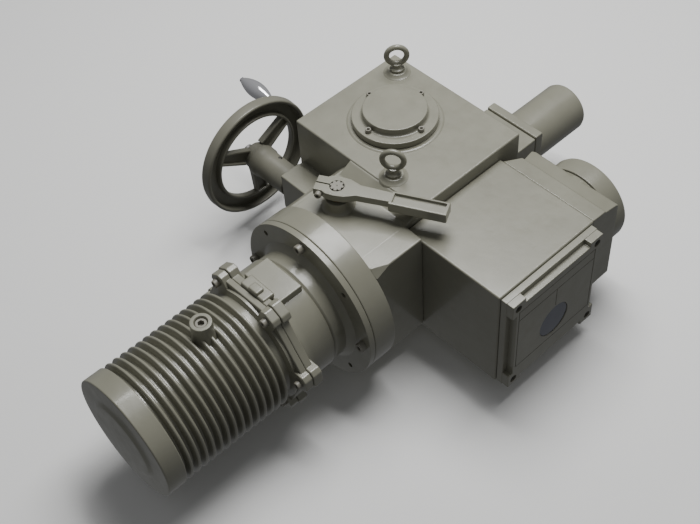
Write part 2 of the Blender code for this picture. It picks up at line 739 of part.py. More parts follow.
def build_clutch():
    pinion_r = BEVEL_MODULE * PINION_TEETH / 2
    bevel_r = BEVEL_MODULE * BEVEL_TEETH / 2
    cone = math.hypot(pinion_r, bevel_r)
    # gear on the worm shaft, free to turn; its cone faces the sliding sleeve
    gear = bevel("bevel_gear", BEVEL_TEETH, bevel_r, cone, "steel", "Y", 1,
                 math.radians(270) + math.pi / BEVEL_TEETH, (31.5, 42.0), (16.0, 22.0))
    hub = lathe("add_bevel_hub", [(APEX_Y - 9.6, 0), (APEX_Y - 9.6, 16.9),
                                  (APEX_Y - 3.6, 20.6), (APEX_Y + 25, 20.6), (APEX_Y + 25, 0)],
                "Y", (AX, 0, AZ), segs=SEG_S, cutter=True)
    fuse(gear, hub)
    drill(gear, "cut_bevel_bore", "Y", (AX, 0, AZ), 16.5, APEX_Y - 20, APEX_Y + 40, SEG_S)
    bush = [(-9.0, 14 + GAP), (-9.0, 16.2), (31.5, 16.2), (31.5, 14 + GAP)]
    lathe("bevel_bush", [(APEX_Y + a, r) for a, r in bush], "Y", (AX, 0, AZ), "bronze", SEG_S,
          pivot=(AX, APEX_Y, AZ))
    pinion = bevel("bevel_pinion", PINION_TEETH, pinion_r, cone, "steel", "X", -1, 0.0,
                   (54.0, 17.0), (36.5, 13.0))
    drill(pinion, "cut_pinion_bore", "X", (0, HW_Y, AZ), HW_SHAFT_R + GAP, 20, 90, SEG_S)
    # sliding sleeve with shifter groove, splined bore, cone recess and driving dogs
    segs = SEG_S
    bore = SPLINE_R + 0.5
    stack = [(SLEEVE_Y0, 26), (GROOVE_Y - 5, 26), (GROOVE_Y - 5, 19.5), (GROOVE_Y + 5, 19.5),
             (GROOVE_Y + 5, 26), (SLEEVE_Y1, 26), (SLEEVE_Y1, 21.2), (SLEEVE_Y1 - 6.2, 17.6),
             (SLEEVE_Y1 - 6.2, bore), (SLEEVE_Y0, bore)]
    verts = []
    rings = []
    for along, radius in stack:
        row = []
        for j in range(segs):
            r = radius - SPLINE_DEEP if (radius == bore and j % 2) else radius
            verts.append(Vector((AX, 0, AZ)) + place("Y", along, r, 2 * math.pi * j / segs))
            row.append(len(verts) - 1)
        rings.append(row)
    sleeve = finish("clutch_sleeve", verts, ring_faces(rings, segs, True), "steel",
                    (AX, 0, AZ))
    hub_y = SLEEVE_Y0 - DOG_L - GAP
    hub = lathe("motor_coupling", [(hub_y, 11.0), (hub_y, 28), (hub_y - 34, 28),
                                   (hub_y - 50, 22), (hub_y - 50, 14 + GAP),
                                   (hub_y - 26, 14 + GAP), (hub_y - 26, 11.0)], "Y",
                (AX, 0, AZ), "steel", SEG_S)
    for k in range(DOGS):
        base = 2 * math.pi * k / DOGS
        dog(sleeve, "add_sleeve_dog_%d" % k, base, SLEEVE_Y0 - DOG_L, SLEEVE_Y0 + 4, 18.0)
        dog(hub, "add_hub_dog_%d" % k, base + math.pi / DOGS, hub_y - 4, SLEEVE_Y0 - GAP, 18.0)


def dog(target, name, angle, low, high, inner):
    """One axial driving claw, a sector block fused to its hub."""
    wide = math.radians(36)
    outline = []
    for r, a in ((inner, -wide / 2), (25.2, -wide / 2), (25.2, 0), (25.2, wide / 2),
                 (inner, wide / 2), (inner, 0)):
        p = place("Y", 0, r, angle + a)
        outline.append((AX + p.x, AZ + p.z))
    tool = prism(name, outline, "Y", low, high, cutter=True)
    fuse(target, tool)


# ---------------------------------------------------------------- declutch lever
def build_lever():
    pivot = (LEVER_X, LEVER_Y, LEVER_Z)
    teeth = 8
    segs = teeth * 4
    verts = []
    rings = []
    shaft = ((AZ + 30.5, PIVOT_R, 0), (LEVER_Z - 3.5, PIVOT_R, 0), (LEVER_Z - 3.5, 15.0, 0),
             (LEVER_Z - GAP, 15.0, 0), (LEVER_Z - GAP, 11.0, 1), (LEVER_Z + LEVER_T + 2, 11.0, 1))
    for z, radius, toothed in shaft:
        row = []
        for j in range(segs):
            r = radius
            if toothed and j % 4 in (0, 1):
                r = radius - 1.6
            verts.append(Vector((LEVER_X, LEVER_Y, 0)) + place("Z", z, r, 2 * math.pi * j / segs))
            row.append(len(verts) - 1)
        rings.append(row)
    faces = ring_faces(rings, segs, False)
    faces.append(rings[0])
    faces.append(rings[-1])
    finish("declutch_shaft", verts, faces, "steel", pivot)
    ring("declutch_bush", "Z", (LEVER_X, LEVER_Y, 0), NECK_TOP - 20, NECK_TOP + 18,
         PIVOT_R + GAP, BUSH_R, "bronze")
    # crank arm inside the neck: its pin runs in the groove of the sliding sleeve
    arm_z0 = AZ + 30.5
    reach = AX - LEVER_X
    outline = []
    for k in range(9):
        a = math.pi / 2 + math.pi * k / 8
        outline.append((LEVER_X + 17 * math.cos(a), LEVER_Y + 17 * math.sin(a)))
    for k in range(7):
        a = -math.pi / 2 + math.pi * k / 6
        outline.append((LEVER_X + reach + 9 * math.cos(a), LEVER_Y + 9 * math.sin(a)))
    arm = prism("shifter_arm", outline, "Z", arm_z0, arm_z0 + 14, "steel", pivot=pivot)
    drill(arm, "cut_arm_bore", "Z", (LEVER_X, LEVER_Y, 0), PIVOT_R + GAP, arm_z0 - 5,
          arm_z0 + 30)
    pin = lathe("add_shifter_pin", [(AZ + 21.5, 0), (AZ + 21.5, 4.2), (arm_z0 + 3, 4.2),
                                    (arm_z0 + 3, 0)], "Z", (AX, LEVER_Y, 0), segs=16,
                cutter=True)
    fuse(arm, pin)
    # outside lever: split clamp, tapering arm, rectangular grip with a pocket
    c = math.cos(LEVER_DIR)
    s = math.sin(LEVER_DIR)

    def world(points):
        return [(LEVER_X + u * c - v * s, LEVER_Y + u * s + v * c) for u, v in points]

    grip0 = LEVER_LEN - GRIP_L
    half = GRIP_W / 2
    side = [(grip0, half), (grip0 - 8, 9.5), (34, 11.5), (16, 19.0)]
    points = [(LEVER_LEN - 3, -half), (LEVER_LEN, -half + 3), (LEVER_LEN, half - 3),
              (LEVER_LEN - 3, half)] + side
    points += [(0, 20.5), (-14, 19.0), (-34, 15.0), (-34, -15.0), (-14, -19.0), (0, -20.5)]
    points += [(u, -v) for u, v in reversed(side)]
    lever = prism("declutch_lever", world(points), "Z", LEVER_Z, LEVER_Z + LEVER_T, "paint",
                  pivot=pivot)
    drill(lever, "cut_lever_eye", "Z", (LEVER_X, LEVER_Y, 0), 11.0 + GAP, LEVER_Z - 5,
          LEVER_Z + 30)
    slot = prism("cut_lever_slot", world([(-40, -1.5), (-5, -1.5), (-5, 1.5), (-40, 1.5)]), "Z",
                 LEVER_Z - 5, LEVER_Z + 30, cutter=True)
    pocket = prism("cut_lever_pocket", world([(grip0 + 6, -8.5), (LEVER_LEN - 6, -8.5),
                                              (LEVER_LEN - 6, 8.5), (grip0 + 6, 8.5)]), "Z",
                   LEVER_Z + LEVER_T - 4, LEVER_Z + 30, cutter=True)
    cut(lever, slot, pocket)
    # clamp screw across the slot
    spot = Vector((LEVER_X - 24 * c, LEVER_Y - 24 * s, LEVER_Z + LEVER_T / 2))
    across = Vector((-s, c, 0))
    tool = cross_pin("cut_clamp_hole", spot, across, 3.4, -40, 40, 12, True)
    cut(lever, tool)
    screw = cross_pin("lever_clamp_screw", spot, across, 3.0, -23.4, 14, 12, False)
    head = cross_pin("add_clamp_head", spot, across, 5.2, -23.6, -18.6, 12, True)
    fuse(screw, head)


def cross_pin(name, spot, direction, radius, low, high, segs, cutter):
    """Cylinder through a spot along a level direction."""
    up = Vector((0, 0, 1))
    side = direction.cross(up)
    verts = []
    rings = []
    for along in (low, high):
        row = []
        for j in range(segs):
            a = 2 * math.pi * j / segs
            verts.append(spot + direction * along + up * radius * math.cos(a)
                         + side * radius * math.sin(a))
            row.append(len(verts) - 1)
        rings.append(row)
    faces = ring_faces(rings, segs, False)
    faces.append(rings[0])
    faces.append(rings[1])
    return finish(name, verts, faces, "dark_steel", (LEVER_X, LEVER_Y, LEVER_Z), cutter)


# ---------------------------------------------------------------- handwheel
def build_handwheel():
    axis = (0, HW_Y, AZ)
    mid = (HW_X0 + HW_X1) / 2
    rim = [(HW_X0 + 3, HW_R - 1.5), (HW_X0 + 8, HW_R), (HW_X1 - 2, HW_R - 1), (HW_X1, HW_R - 3),
           (HW_X1, HW_R - 6), (HW_X0 + 9, HW_R - 7.5), (HW_X0 + 9, HW_IN + 6),
           (HW_X1 - 3, HW_IN + 5), (HW_X1 - 3, HW_IN), (HW_X0 + 6, HW_IN + 1),
           (HW_X0 + 3, HW_IN + 6), (HW_X0 + 1, HW_R - 6)]
    wheel = lathe("handwheel", rim, "X", axis, "dark_paint", SEG, pivot=(mid, HW_Y, AZ))
    bore = HW_SHAFT_R + GAP
    hub = lathe("add_hub", [(HUB_X0, bore), (HUB_X0, HUB_R - 2), (HUB_X0 + 3, HUB_R),
                            (HUB_X0 + 18, HUB_R), (HUB_X0 + 22, HUB_R - 1.5),
                            (HUB_X1 - 2, HUB_R - 2.5), (HUB_X1, HUB_R - 4), (HUB_X1, bore)],
                "X", axis, segs=SEG_S, cutter=True)
    fuse(wheel, hub)
    for k in range(SPOKES):
        angle = math.radians(30) + 2 * math.pi * k / SPOKES
        c = math.cos(angle)
        s = math.sin(angle)
        for tag, v00, v01, v10, v11, x0, x1 in (
                ("web", -15.0, 15.0, -12.0, 12.0, SPOKE_X0, SPOKE_X0 + 6),
                ("rib_a", -15.0, -10.5, -12.0, -8.0, SPOKE_X0 + 4, HW_X1 - 3.5),
                ("rib_b", 10.5, 15.0, 8.0, 12.0, SPOKE_X0 + 4, HW_X1 - 3.5)):
            corners = ((HUB_R - 8, v00), (HW_IN + 3, v10), (HW_IN + 3, v11), (HUB_R - 8, v01))
            outline = [(HW_Y + u * c - v * s, AZ + u * s + v * c) for u, v in corners]
            spoke = prism("add_%s_%d" % (tag, k), outline, "X", x0, x1, cutter=True)
            fuse(wheel, spoke)
    lathe("handwheel_shaft", [(HW_X0 - 10, 0), (HW_X0 - 10, 8.5), (HW_X0 - 8.5, HW_SHAFT_R),
                              (AX - 37.0, HW_SHAFT_R), (AX - 37.0, 0)], "X", axis, "steel",
          SEG_S, pivot=(mid, HW_Y, AZ))
    ring("handwheel_bush", "X", axis, BRACKET_X0 + 6, BRACKET_X0 + 40, HW_SHAFT_R + GAP, 15,
         "bronze")
    bracket = soft_box("handwheel_bracket", (BRACKET_X0, BRACKET_X1), (BRACKET_Y0, BRACKET_Y1),
                       (BRACKET_Z0, BRACKET_Z1), 3.0, "paint", pivot=(BRACKET_X1, HW_Y, AZ))
    drill(bracket, "cut_bush_seat", "X", axis, 15 + GAP, BRACKET_X0 + 5, BRACKET_X1 + 10)
    drill(bracket, "cut_bracket_bore", "X", axis, HW_SHAFT_R + GAP, BRACKET_X0 - 10,
          BRACKET_X0 + 20)
    # egg-shaped turning handle on its own spindle
    spot = Vector((0, HW_Y, AZ)) + place("X", 0, CRANK_R, CRANK_ANG)
    start = HW_X0 - 3.0
    egg = []
    count = 9
    for k in range(count + 1):
        t = k / count
        swell = 14.5 * math.sin(math.pi * (0.12 + 0.80 * t)) ** 0.9
        egg.append((start - CRANK_L * t, swell if k < count else 4.0))
    profile = [(start, 3.6)] + egg + [(start - CRANK_L, 3.6)]
    lathe("crank_handle", profile, "X", spot, "chrome", 12, pivot=spot + Vector((start, 0, 0)))
    lathe("crank_spindle", [(start - CRANK_L - 2, 0), (start - CRANK_L - 2, 4.4),
                            (start - CRANK_L - 0.4, 5.2), (start - CRANK_L - 0.4, 3.2),
                            (start + 0.5, 3.2), (start + 0.5, 6.0), (HW_X0 - GAP, 6.0),
                            (HW_X0 - GAP, 3.2), (HW_X0 + 8, 3.2), (HW_X0 + 8, 0)], "X", spot,
          "steel", 16, pivot=spot + Vector((start, 0, 0)))
    drill(wheel, "cut_spindle_hole", "X", spot, 3.6, HW_X0 - 5, HW_X0 + 20, 16)


# ---------------------------------------------------------------- motor
def lug_outline(out, wide):
    """Outline of a ring of radial lugs, as (x, z) pairs for one lug."""
    half = wide / 2
    return [(88, -half), (out - 5, -half), (out, -half + 6), (out, half - 6), (out - 5, half),
            (88, half)]


def add_lugs(target, low, high, tag):
    for k in range(LUGS):
        angle = LUG_PHASE + 2 * math.pi * k / LUGS
        c = math.cos(angle)
        s = math.sin(angle)
        outline = [(AX + u * c - v * s, AZ + u * s + v * c) for u, v in lug_outline(LUG_OUT,
                                                                                   LUG_W)]
        tool = prism("add_%s_lug_%d" % (tag, k), outline, "Y", low, high, cutter=True)
        fuse(target, tool)
    for k in range(LUGS):
        spot = lug_spot(k)
        drill(target, "cut_%s_lug_%d" % (tag, k), "Y", (spot[0], 0, spot[1]), 4.4, low - 4,
              high + 4, 8)


def lug_spot(k):
    angle = LUG_PHASE + 2 * math.pi * k / LUGS
    return (AX + 111 * math.cos(angle), AZ + 111 * math.sin(angle))


def build_motor():
    axis = (AX, 0, AZ)
    face = COLLAR_Y0 - GAP
    profile = [(face + 8, NECK_CORE_R - GAP), (face, NECK_CORE_R - GAP), (face, COLLAR_R - 1),
               (face - 1, COLLAR_R), (FLANGE_Y0 + 1.5, COLLAR_R), (FLANGE_Y0, COLLAR_R - 1.5),
               (FLANGE_Y0, 104), (FLANGE_Y0 - 5, 101), (FLANGE_Y0 - 7, SPIGOT_R),
               (GROOVE_RING_Y + 1, SPIGOT_R), (GROOVE_RING_Y + GAP, SPIGOT_R - 1),
               (GROOVE_RING_Y + GAP, 40), (-311, 40), (-311, 36 + GAP), (-290, 36 + GAP),
               (-290, 62), (face + 8, 62)]
    flange = lathe("motor_flange", profile, "Y", axis, "paint", SEG)
    for k in range(4):
        angle = math.pi / 2 * k
        hole = Vector(axis) + place("Y", 0, FLANGE_BOLT_R, angle)
        drill(flange, "cut_flange_hole_%d" % k, "Y", hole, 5.4, FLANGE_Y0 - 5, face + 5, 8)
        socket_screw("motor_flange_screw_%d" % (k + 1), "Y", (hole.x, FLANGE_Y0 - GAP, hole.z),
                     -1, 8.0, 10.0, 5.0, 30.0)
        spare = Vector(axis) + place("Y", 0, FLANGE_BOLT_R, angle + math.pi / 4)
        drill(flange, "cut_jack_hole_%d" % k, "Y", spare, 4.2, FLANGE_Y0 - 5, FLANGE_Y0 + 9, 8)
    bearing("motor_bearing_front", "Y", axis, -308, -290.4, 14 + GAP, 35.7)

    adapter = lathe("motor_adapter", [(GROOVE_RING_Y, 78), (GROOVE_RING_Y, ADAPTER_R - 1),
                                      (GROOVE_RING_Y - 1, ADAPTER_R), (LUG_Y0 + 6, ADAPTER_R),
                                      (LUG_Y0, ADAPTER_R + 3), (LUG_SPLIT + GAP, ADAPTER_R + 3),
                                      (LUG_SPLIT + GAP, 78)], "Y", axis, "paint", SEG)
    pad = soft_box("add_duct", (AX - 39, AX + 39), (LUG_Y0 + 3, GROOVE_RING_Y - 4),
                   (AZ + 84, AZ + 101), 2.0, cutter=True)
    fuse(adapter, pad)
    add_lugs(adapter, LUG_SPLIT + GAP, LUG_Y0, "adapter")

    profile = [(LUG_SPLIT, MOTOR_BORE), (LUG_SPLIT, ADAPTER_R + 3), (LUG_Y1, ADAPTER_R + 3)]
    for k in range(FIN_COUNT):
        y = FIN_FIRST - FIN_PITCH * k
        profile += [(y + FIN_PITCH / 2, FIN_ROOT), (y + 2.4, FIN_R), (y - 2.4, FIN_R)]
    profile += [(MOTOR_END, FIN_ROOT), (MOTOR_END, MOTOR_BORE)]
    motor = lathe("motor_housing", profile, "Y", axis, "paint", SEG_M)
    add_lugs(motor, LUG_Y1, LUG_SPLIT, "motor")
    boss = lathe("add_plug_boss", [(AZ + 85, 0), (AZ + 85, PLUG_R + 1.5), (AZ + 104, PLUG_R),
                                   (AZ + PLUG_TOP - 1.5, PLUG_R),
                                   (AZ + PLUG_TOP, PLUG_R - 1.5), (AZ + PLUG_TOP, 0)], "Z",
                 (AX, PLUG_Y, 0), segs=SEG_S, cutter=True)
    fuse(motor, boss)
    drill(motor, "cut_plug_tap", "Z", (AX, PLUG_Y, 0), 9.0, AZ + 70, AZ + PLUG_TOP + 10, 12)
    key = 6.0
    lathe("motor_plug", [(AZ + 94, 0), (AZ + 94, 8.3), (AZ + PLUG_TOP - 2, 8.3),
                                (AZ + PLUG_TOP - 1, 7.8), (AZ + PLUG_TOP - 1, key),
                                (AZ + PLUG_TOP - 9, key), (AZ + PLUG_TOP - 9, 0)], "Z",
                 (AX, PLUG_Y, 0), "dark_steel", 8)

    end = MOTOR_END - GAP
    lathe("motor_end_cover", [(end + 10, MOTOR_BORE - GAP), (end, MOTOR_BORE - GAP),
                              (end, FIN_R - 1), (end - 1, FIN_R), (END_Y + 10, FIN_R),
                              (END_Y + 3, FIN_R - 2.5), (END_Y, FIN_R - 9), (END_Y - 1, 66),
                              (END_Y - 4, 62), (END_Y - 5, 0), (END_Y + 12, 0),
                              (END_Y + 12, 31 + GAP), (END_Y + 30, 31 + GAP),
                              (END_Y + 30, 40), (END_Y + 9, 44), (END_Y + 9, 70),
                              (end + 10, 72)], "Y", axis, "paint", SEG_M)
    bearing("motor_bearing_rear", "Y", axis, END_Y + 12.4, END_Y + 28, 12 + GAP, 30.8)
    ring("stator", "Y", axis, -580, -440, 53, MOTOR_BORE - GAP, "dark_steel", SEG_M)
    coil = [(-418, 56), (-418, 71), (-424, 75), (-439.5, 75), (-439.5, 56)]
    lathe("stator_winding", coil, "Y", axis, "copper", SEG_S)
    ring("rotor_core", "Y", axis, -577, -443, 20 + GAP, 52, "dark_steel", SEG_S)
    lathe("rotor_shaft", [(SLEEVE_Y0 - DOG_L - GAP - 26.4, 0),
                          (SLEEVE_Y0 - DOG_L - GAP - 26.4, 13.9), (-312, 13.9), (-312, 16),
                          (-430, 16), (-430, 20), (-587, 20), (-587, 15), (END_Y + 29, 15),
                          (END_Y + 29, 12), (END_Y + 13, 12), (END_Y + 13, 0)], "Y", axis,
          "steel", SEG_S)


# ---------------------------------------------------------------- rear tube
def build_tube():
    axis = (AX, 0, AZ)
    low = BOSS_Y + GAP
    tube = soft_box("spring_tube", (AX - BOSS_HALF, AX + BOSS_HALF), (low, low + TUBE_PLATE),
                    (AZ - BOSS_HALF + 4, AZ + BOSS_HALF + 5), 4.0)
    body = lathe("add_tube", [(low + 4, 0), (low + 4, TUBE_R), (TUBE_END - 9, TUBE_R),
                              (TUBE_END - 3, TUBE_R - 3), (TUBE_END, TUBE_R - 10),
                              (TUBE_END, 0)], "Y", axis, segs=SEG, cutter=True)
    fuse(tube, body)
    drill(tube, "cut_tube_core", "Y", axis, TUBE_IN, low - 5, TUBE_END - 8, SEG_S)
    for k, (sx, sz) in enumerate(((1, 1), (-1, 1), (-1, -1), (1, -1))):
        spot = (AX + sx * TUBE_BOLT, 0, AZ + sz * TUBE_BOLT)
        drill(tube, "cut_tube_hole_%d" % k, "Y", spot, 4.4, low - 5, low + 40, 8)


# ---------------------------------------------------------------- control box
def build_control():
    box = soft_box("control_box", (BOX_X0, BOX_X1), (BOX_Y0, BOX_Y1), (BOX_Z0, BOX_Z1), 5.0)
    core = soft_box("cut_box_core", (BOX_X0 + 10, BOX_X1 + 40), (BOX_Y0 + 10, BOX_Y1 - 10),
                    (BOX_Z0 + 10, BOX_Z1 - 10), 8.0, cutter=True)
    cut(box, core)
    drill(box, "cut_box_wire", "X", (0, 60 - 14, 190), 12.0, BOX_X0 - 5, BOX_X0 + 20, 12)
    drill(box, "cut_box_pass", "Y", (PLUG_COVER_X, 0, 140), 30.0, BOX_Y1 - 20, BOX_Y1 + 20, SEG_S)

    cover = plain_box("control_cover", (BOX_X1 + 0.6, BOX_X1 + 12), (COVER_Y0, COVER_Y1),
                      (COVER_Z0, COVER_Z1), pivot=(BOX_X1, 0, BOX_Z0))
    a0 = COVER_Y0 + 0.8
    a1 = COVER_Y1 - 0.8
    b0 = COVER_Z0 + 0.8
    b1 = COVER_Z1 - 0.8
    s = LUG_SIDE
    p = PANEL_IN
    outline = [(a0, b0), (a0 + s, b0), (a0 + s, b0 + p), (a1 - s, b0 + p), (a1 - s, b0),
               (a1, b0), (a1, b0 + s), (a1 - p, b0 + s), (a1 - p, b1 - s), (a1, b1 - s),
               (a1, b1), (a1 - s, b1), (a1 - s, b1 - p), (a0 + s, b1 - p), (a0 + s, b1),
               (a0, b1), (a0, b1 - s), (a0 + p, b1 - s), (a0 + p, b0 + s), (a0, b0 + s)]
    panel = prism("add_panel", outline, "X", BOX_X1 + 8, COVER_X1, cutter=True)
    fuse(cover, panel)
    pocket = soft_box("cut_cover_pocket", (BOX_X1 - 20, COVER_X1 - 8), (a0 + 30, a1 - 30),
                      (b0 + 30, b1 - 30), 6.0, cutter=True)
    cut(cover, pocket)
    drill(cover, "cut_window_seat", "X", (0, WINDOW_Y, WINDOW_Z), WINDOW_R, COVER_X1 - 4,
          COVER_X1 + 10, SEG)
    drill(cover, "cut_window_way", "X", (0, WINDOW_Y, WINDOW_Z), WINDOW_R - 5, COVER_X1 - 30,
          COVER_X1 + 10, SEG_S)
    for k, (y, z) in enumerate(cover_corners()):
        drill(cover, "cut_corner_%d" % k, "X", (0, y, z), 3.6, BOX_X1 - 10, COVER_X1 + 10, 8)
        drill(box, "cut_corner_tap_%d" % k, "X", (0, y, z), 3.4, BOX_X1 - 12, BOX_X1 + 10, 8)
        drill(cover, "cut_corner_sink_%d" % k, "X", (0, y, z), 6.2, COVER_X1 - 8,
              COVER_X1 + 10, 12)
    lathe("sight_window", [(COVER_X1 - 4 + GAP, 0), (COVER_X1 - 4 + GAP, WINDOW_R - 0.6),
                           (COVER_X1 - 0.6, WINDOW_R - 0.6), (COVER_X1 - 0.6, 0)], "X",
          (0, WINDOW_Y, WINDOW_Z), "glass", SEG_S)
    plain_box("control_board", (318, 320), (BOX_Y0 + 14, BOX_Y1 - 14),
              (BOX_Z0 + 16, BOX_Z1 - 16), "board")

    # terminal housing: a loft of upright slices whose top slopes down to the rear
    slices = ((BOX_Y1 + GAP, 172, 233.5), (99, 193, 231.0), (122, 234, 224.0),
              (TERM_Y1, 242, 217.0))
    verts = []
    rows = []
    for y, left, high in slices:
        row = []
        for x, z in ((left, TERM_Z0), (354, TERM_Z0), (354, high), (left, high)):
            verts.append((x, y, z))
            row.append(len(verts) - 1)
        rows.append(row)
    faces = ring_faces(rows, 4, False)
    faces.append(rows[0])
    faces.append(rows[-1])
    term = finish("terminal_housing", verts, faces, "paint", (PLUG_COVER_X, BOX_Y1, 140), False,
                  False)
    ring_boss = lathe("add_term_ring", [(TERM_Y1 - 12, 0), (TERM_Y1 - 12, PLUG_COVER_R - 0.5),
                                        (TERM_Y1 + 10, PLUG_COVER_R - 0.5),
                                        (TERM_Y1 + 10, 0)], "Y",
                      (PLUG_COVER_X, 0, PLUG_COVER_Z), segs=SEG, cutter=True)
    fuse(term, ring_boss)
    drill(term, "cut_term_core", "Y", (PLUG_COVER_X, 0, PLUG_COVER_Z), 58, BOX_Y1 + 12,
          TERM_Y1 + 30, SEG)
    drill(term, "cut_term_pass", "Y", (PLUG_COVER_X, 0, 140), 30.0, BOX_Y1 - 20, BOX_Y1 + 20,
          SEG_S)
    lathe("terminal_cover", [(TERM_Y1 + 10 + GAP, 0), (TERM_Y1 + 10 + GAP, PLUG_COVER_R - 1),
                             (TERM_Y1 + 11, PLUG_COVER_R), (PLUG_COVER_Y1 - 7, PLUG_COVER_R),
                             (PLUG_COVER_Y1 - 2, PLUG_COVER_R - 3),
                             (PLUG_COVER_Y1, PLUG_COVER_R - 9), (PLUG_COVER_Y1, 0)], "Y",
          (PLUG_COVER_X, 0, PLUG_COVER_Z), "paint", SEG)
    soft_box("terminal_block", (PLUG_COVER_X - 36, PLUG_COVER_X + 36),
             (BOX_Y1 + 14, TERM_Y1 - 6), (PLUG_COVER_Z - 18, PLUG_COVER_Z + 16), 3.0, "plastic")
    drill(term, "cut_gland", "Z", (GLAND_X, GLAND_Y, 0), 12.0, TERM_Z0 - 5, TERM_Z0 + 60, SEG_S)
    lathe("cable_plug", [(TERM_Z0 - 14, 0), (TERM_Z0 - 14, 10), (TERM_Z0 - 12, 12),
                         (TERM_Z0 - 8, 16), (TERM_Z0 - GAP, 16), (TERM_Z0 - GAP, 11.5),
                         (TERM_Z0 + 12, 11.5), (TERM_Z0 + 12, 0)], "Z", (GLAND_X, GLAND_Y, 0),
          "dark_steel", SEG_S)


def cover_corners():
    inset = 13.0
    return ((COVER_Y0 + inset, COVER_Z0 + inset), (COVER_Y1 - inset, COVER_Z0 + inset),
            (COVER_Y1 - inset, COVER_Z1 - inset), (COVER_Y0 + inset, COVER_Z1 - inset))


build_case()
build_base()
build_cover()
build_eyebolt("a", EYE_A, math.radians(51))
build_eyebolt("b", EYE_B, math.radians(35))
build_worm_wheel()
build_worm_shaft()
build_output()
build_worm_parts()
build_clutch()
build_lever()
build_handwheel()
build_motor()
build_tube()
build_control()
apply_tools()

# ---------------------------------------------------------------- frame
# The row frame has its origin under the middle of the whole assembly, on the floor.
bpy.context.view_layer.update()
deps = bpy.context.evaluated_depsgraph_get()
low = Vector((1e9, 1e9, 1e9))
high = -low
for obj in bpy.context.scene.objects:
    if obj.hide_render:
        continue
    shape = obj.evaluated_get(deps)
    for corner in shape.bound_box:
        spot = shape.matrix_world @ Vector(corner)
        low = Vector(map(min, low, spot))
        high = Vector(map(max, high, spot))
shift = Vector((-(low.x + high.x) / 2, -(low.y + high.y) / 2, -low.z))
for obj in bpy.context.scene.objects:
    obj.location += shift
print("frame shift mm", [round(v / MM, 4) for v in shift])
print("size mm", [round(v / MM, 2) for v in (high - low)])
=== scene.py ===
"""Looks of the motorised valve actuator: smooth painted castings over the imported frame.

Lengths are in millimetres in the part's own frame until a mesh is made.  There the output axis is
vertical through x = y = 0, and the worm and the motor share one axis that runs along Y.
"""

import json
import math

import bmesh
import bpy
from mathutils import Matrix, Vector
from mathutils.noise import noise as noise_at

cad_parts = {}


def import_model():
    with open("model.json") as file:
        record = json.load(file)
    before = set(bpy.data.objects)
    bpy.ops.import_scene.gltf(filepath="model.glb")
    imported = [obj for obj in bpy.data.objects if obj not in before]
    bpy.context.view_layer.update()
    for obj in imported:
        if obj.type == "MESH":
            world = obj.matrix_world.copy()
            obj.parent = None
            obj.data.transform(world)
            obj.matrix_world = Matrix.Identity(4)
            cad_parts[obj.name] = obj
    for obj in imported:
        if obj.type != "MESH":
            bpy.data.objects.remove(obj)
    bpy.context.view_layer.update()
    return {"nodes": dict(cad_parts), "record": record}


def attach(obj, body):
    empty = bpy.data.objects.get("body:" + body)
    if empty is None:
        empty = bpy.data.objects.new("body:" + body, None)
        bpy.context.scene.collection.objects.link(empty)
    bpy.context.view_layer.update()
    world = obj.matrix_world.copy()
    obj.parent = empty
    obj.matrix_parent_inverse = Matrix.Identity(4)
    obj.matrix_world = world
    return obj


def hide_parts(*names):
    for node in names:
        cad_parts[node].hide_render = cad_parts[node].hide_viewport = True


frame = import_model()

MM = 0.001
SHIFT = Vector((-41.0, 163.0, 0.0))     # from the part's own frame to the row frame
GAP = 0.3

AX, AZ = 97.5, 138.0
TOP = 258.0
CASE_X0, CASE_X1 = -115.5, 166.0
CASE_Y = 112.5
WALL = 12.0
BASE_T, BASE_R = 22.0, 105.0
SEAT_R, COVER_R, COVER_T = 79.0, 70.5, 13.5
CAP_R, CAP_H = 52.5, 26.0
COVER_BOLT_R = 59.0
NECK_X1, NECK_TOP, NECK_BOT, NECK_STEP_Y = 201.0, 243.0, 39.0, -142.2
COLLAR_R, COLLAR_Y0, COLLAR_Y1 = 138.0, -277.0, -236.0
BOSS_HALF, BOSS_Y = 54.0, 172.0
TUBE_R, TUBE_END, TUBE_PLATE, TUBE_BOLT = 44.0, 320.0, 17.0, 42.0
HAND_Y = -140.0
LEVER_X, LEVER_Y, LEVER_Z, LEVER_T, LEVER_LEN = 59.5, -180.5, 270.0, 13.0, 174.0
LEVER_DIR = math.radians(28)
GRIP_L, GRIP_W = 90.0, 27.0
HW_R, HW_IN, HW_X0, HW_X1 = 110.5, 78.0, -217.5, -195.0
HUB_R, HUB_X0, HUB_X1, SPOKE_X0 = 30.0, -199.0, -109.0, -210.0
BRACKET_X0, BRACKET_X1 = -106.5, -43.0
BRACKET_Y0, BRACKET_Y1 = -164.0, -123.0
BRACKET_Z0, BRACKET_Z1 = 100.5, 175.0
CRANK_ANG, CRANK_R, CRANK_L = math.radians(54), 98.0, 75.0
FLANGE_Y0, FLANGE_BOLT_R = -288.0, 123.0
SPIGOT_R, GROOVE_RING_Y = 95.0, -320.5
ADAPTER_R, LUG_Y0, LUG_SPLIT, LUG_Y1 = 97.0, -371.0, -388.0, -403.0
LUG_OUT, LUG_W, LUG_PLATE_R, LUG_BOLT_R = 125.0, 36.0, 119.5, 111.0
LUG_ANGLES = [math.radians(3) + 2 * math.pi * k / 6 for k in range(6)]
FIN_R, FIN_ROOT, FIN_COUNT, FIN_FIRST, FIN_PITCH = 101.5, 90.0, 14, -421.0, 13.6
MOTOR_END, MOTOR_BORE, END_Y = -608.0, 80.0, -641.0
PLUG_Y, PLUG_R, PLUG_TOP = -478.0, 16.5, 122.0
BOX_X0, BOX_X1 = CASE_X1 + GAP, 355.5
BOX_Y0, BOX_Y1 = -141.8, 67.0
BOX_Z0, BOX_Z1 = 30.0, 234.5
COVER_X1 = 379.5
COVER_Y0, COVER_Y1 = -140.0, 60.0
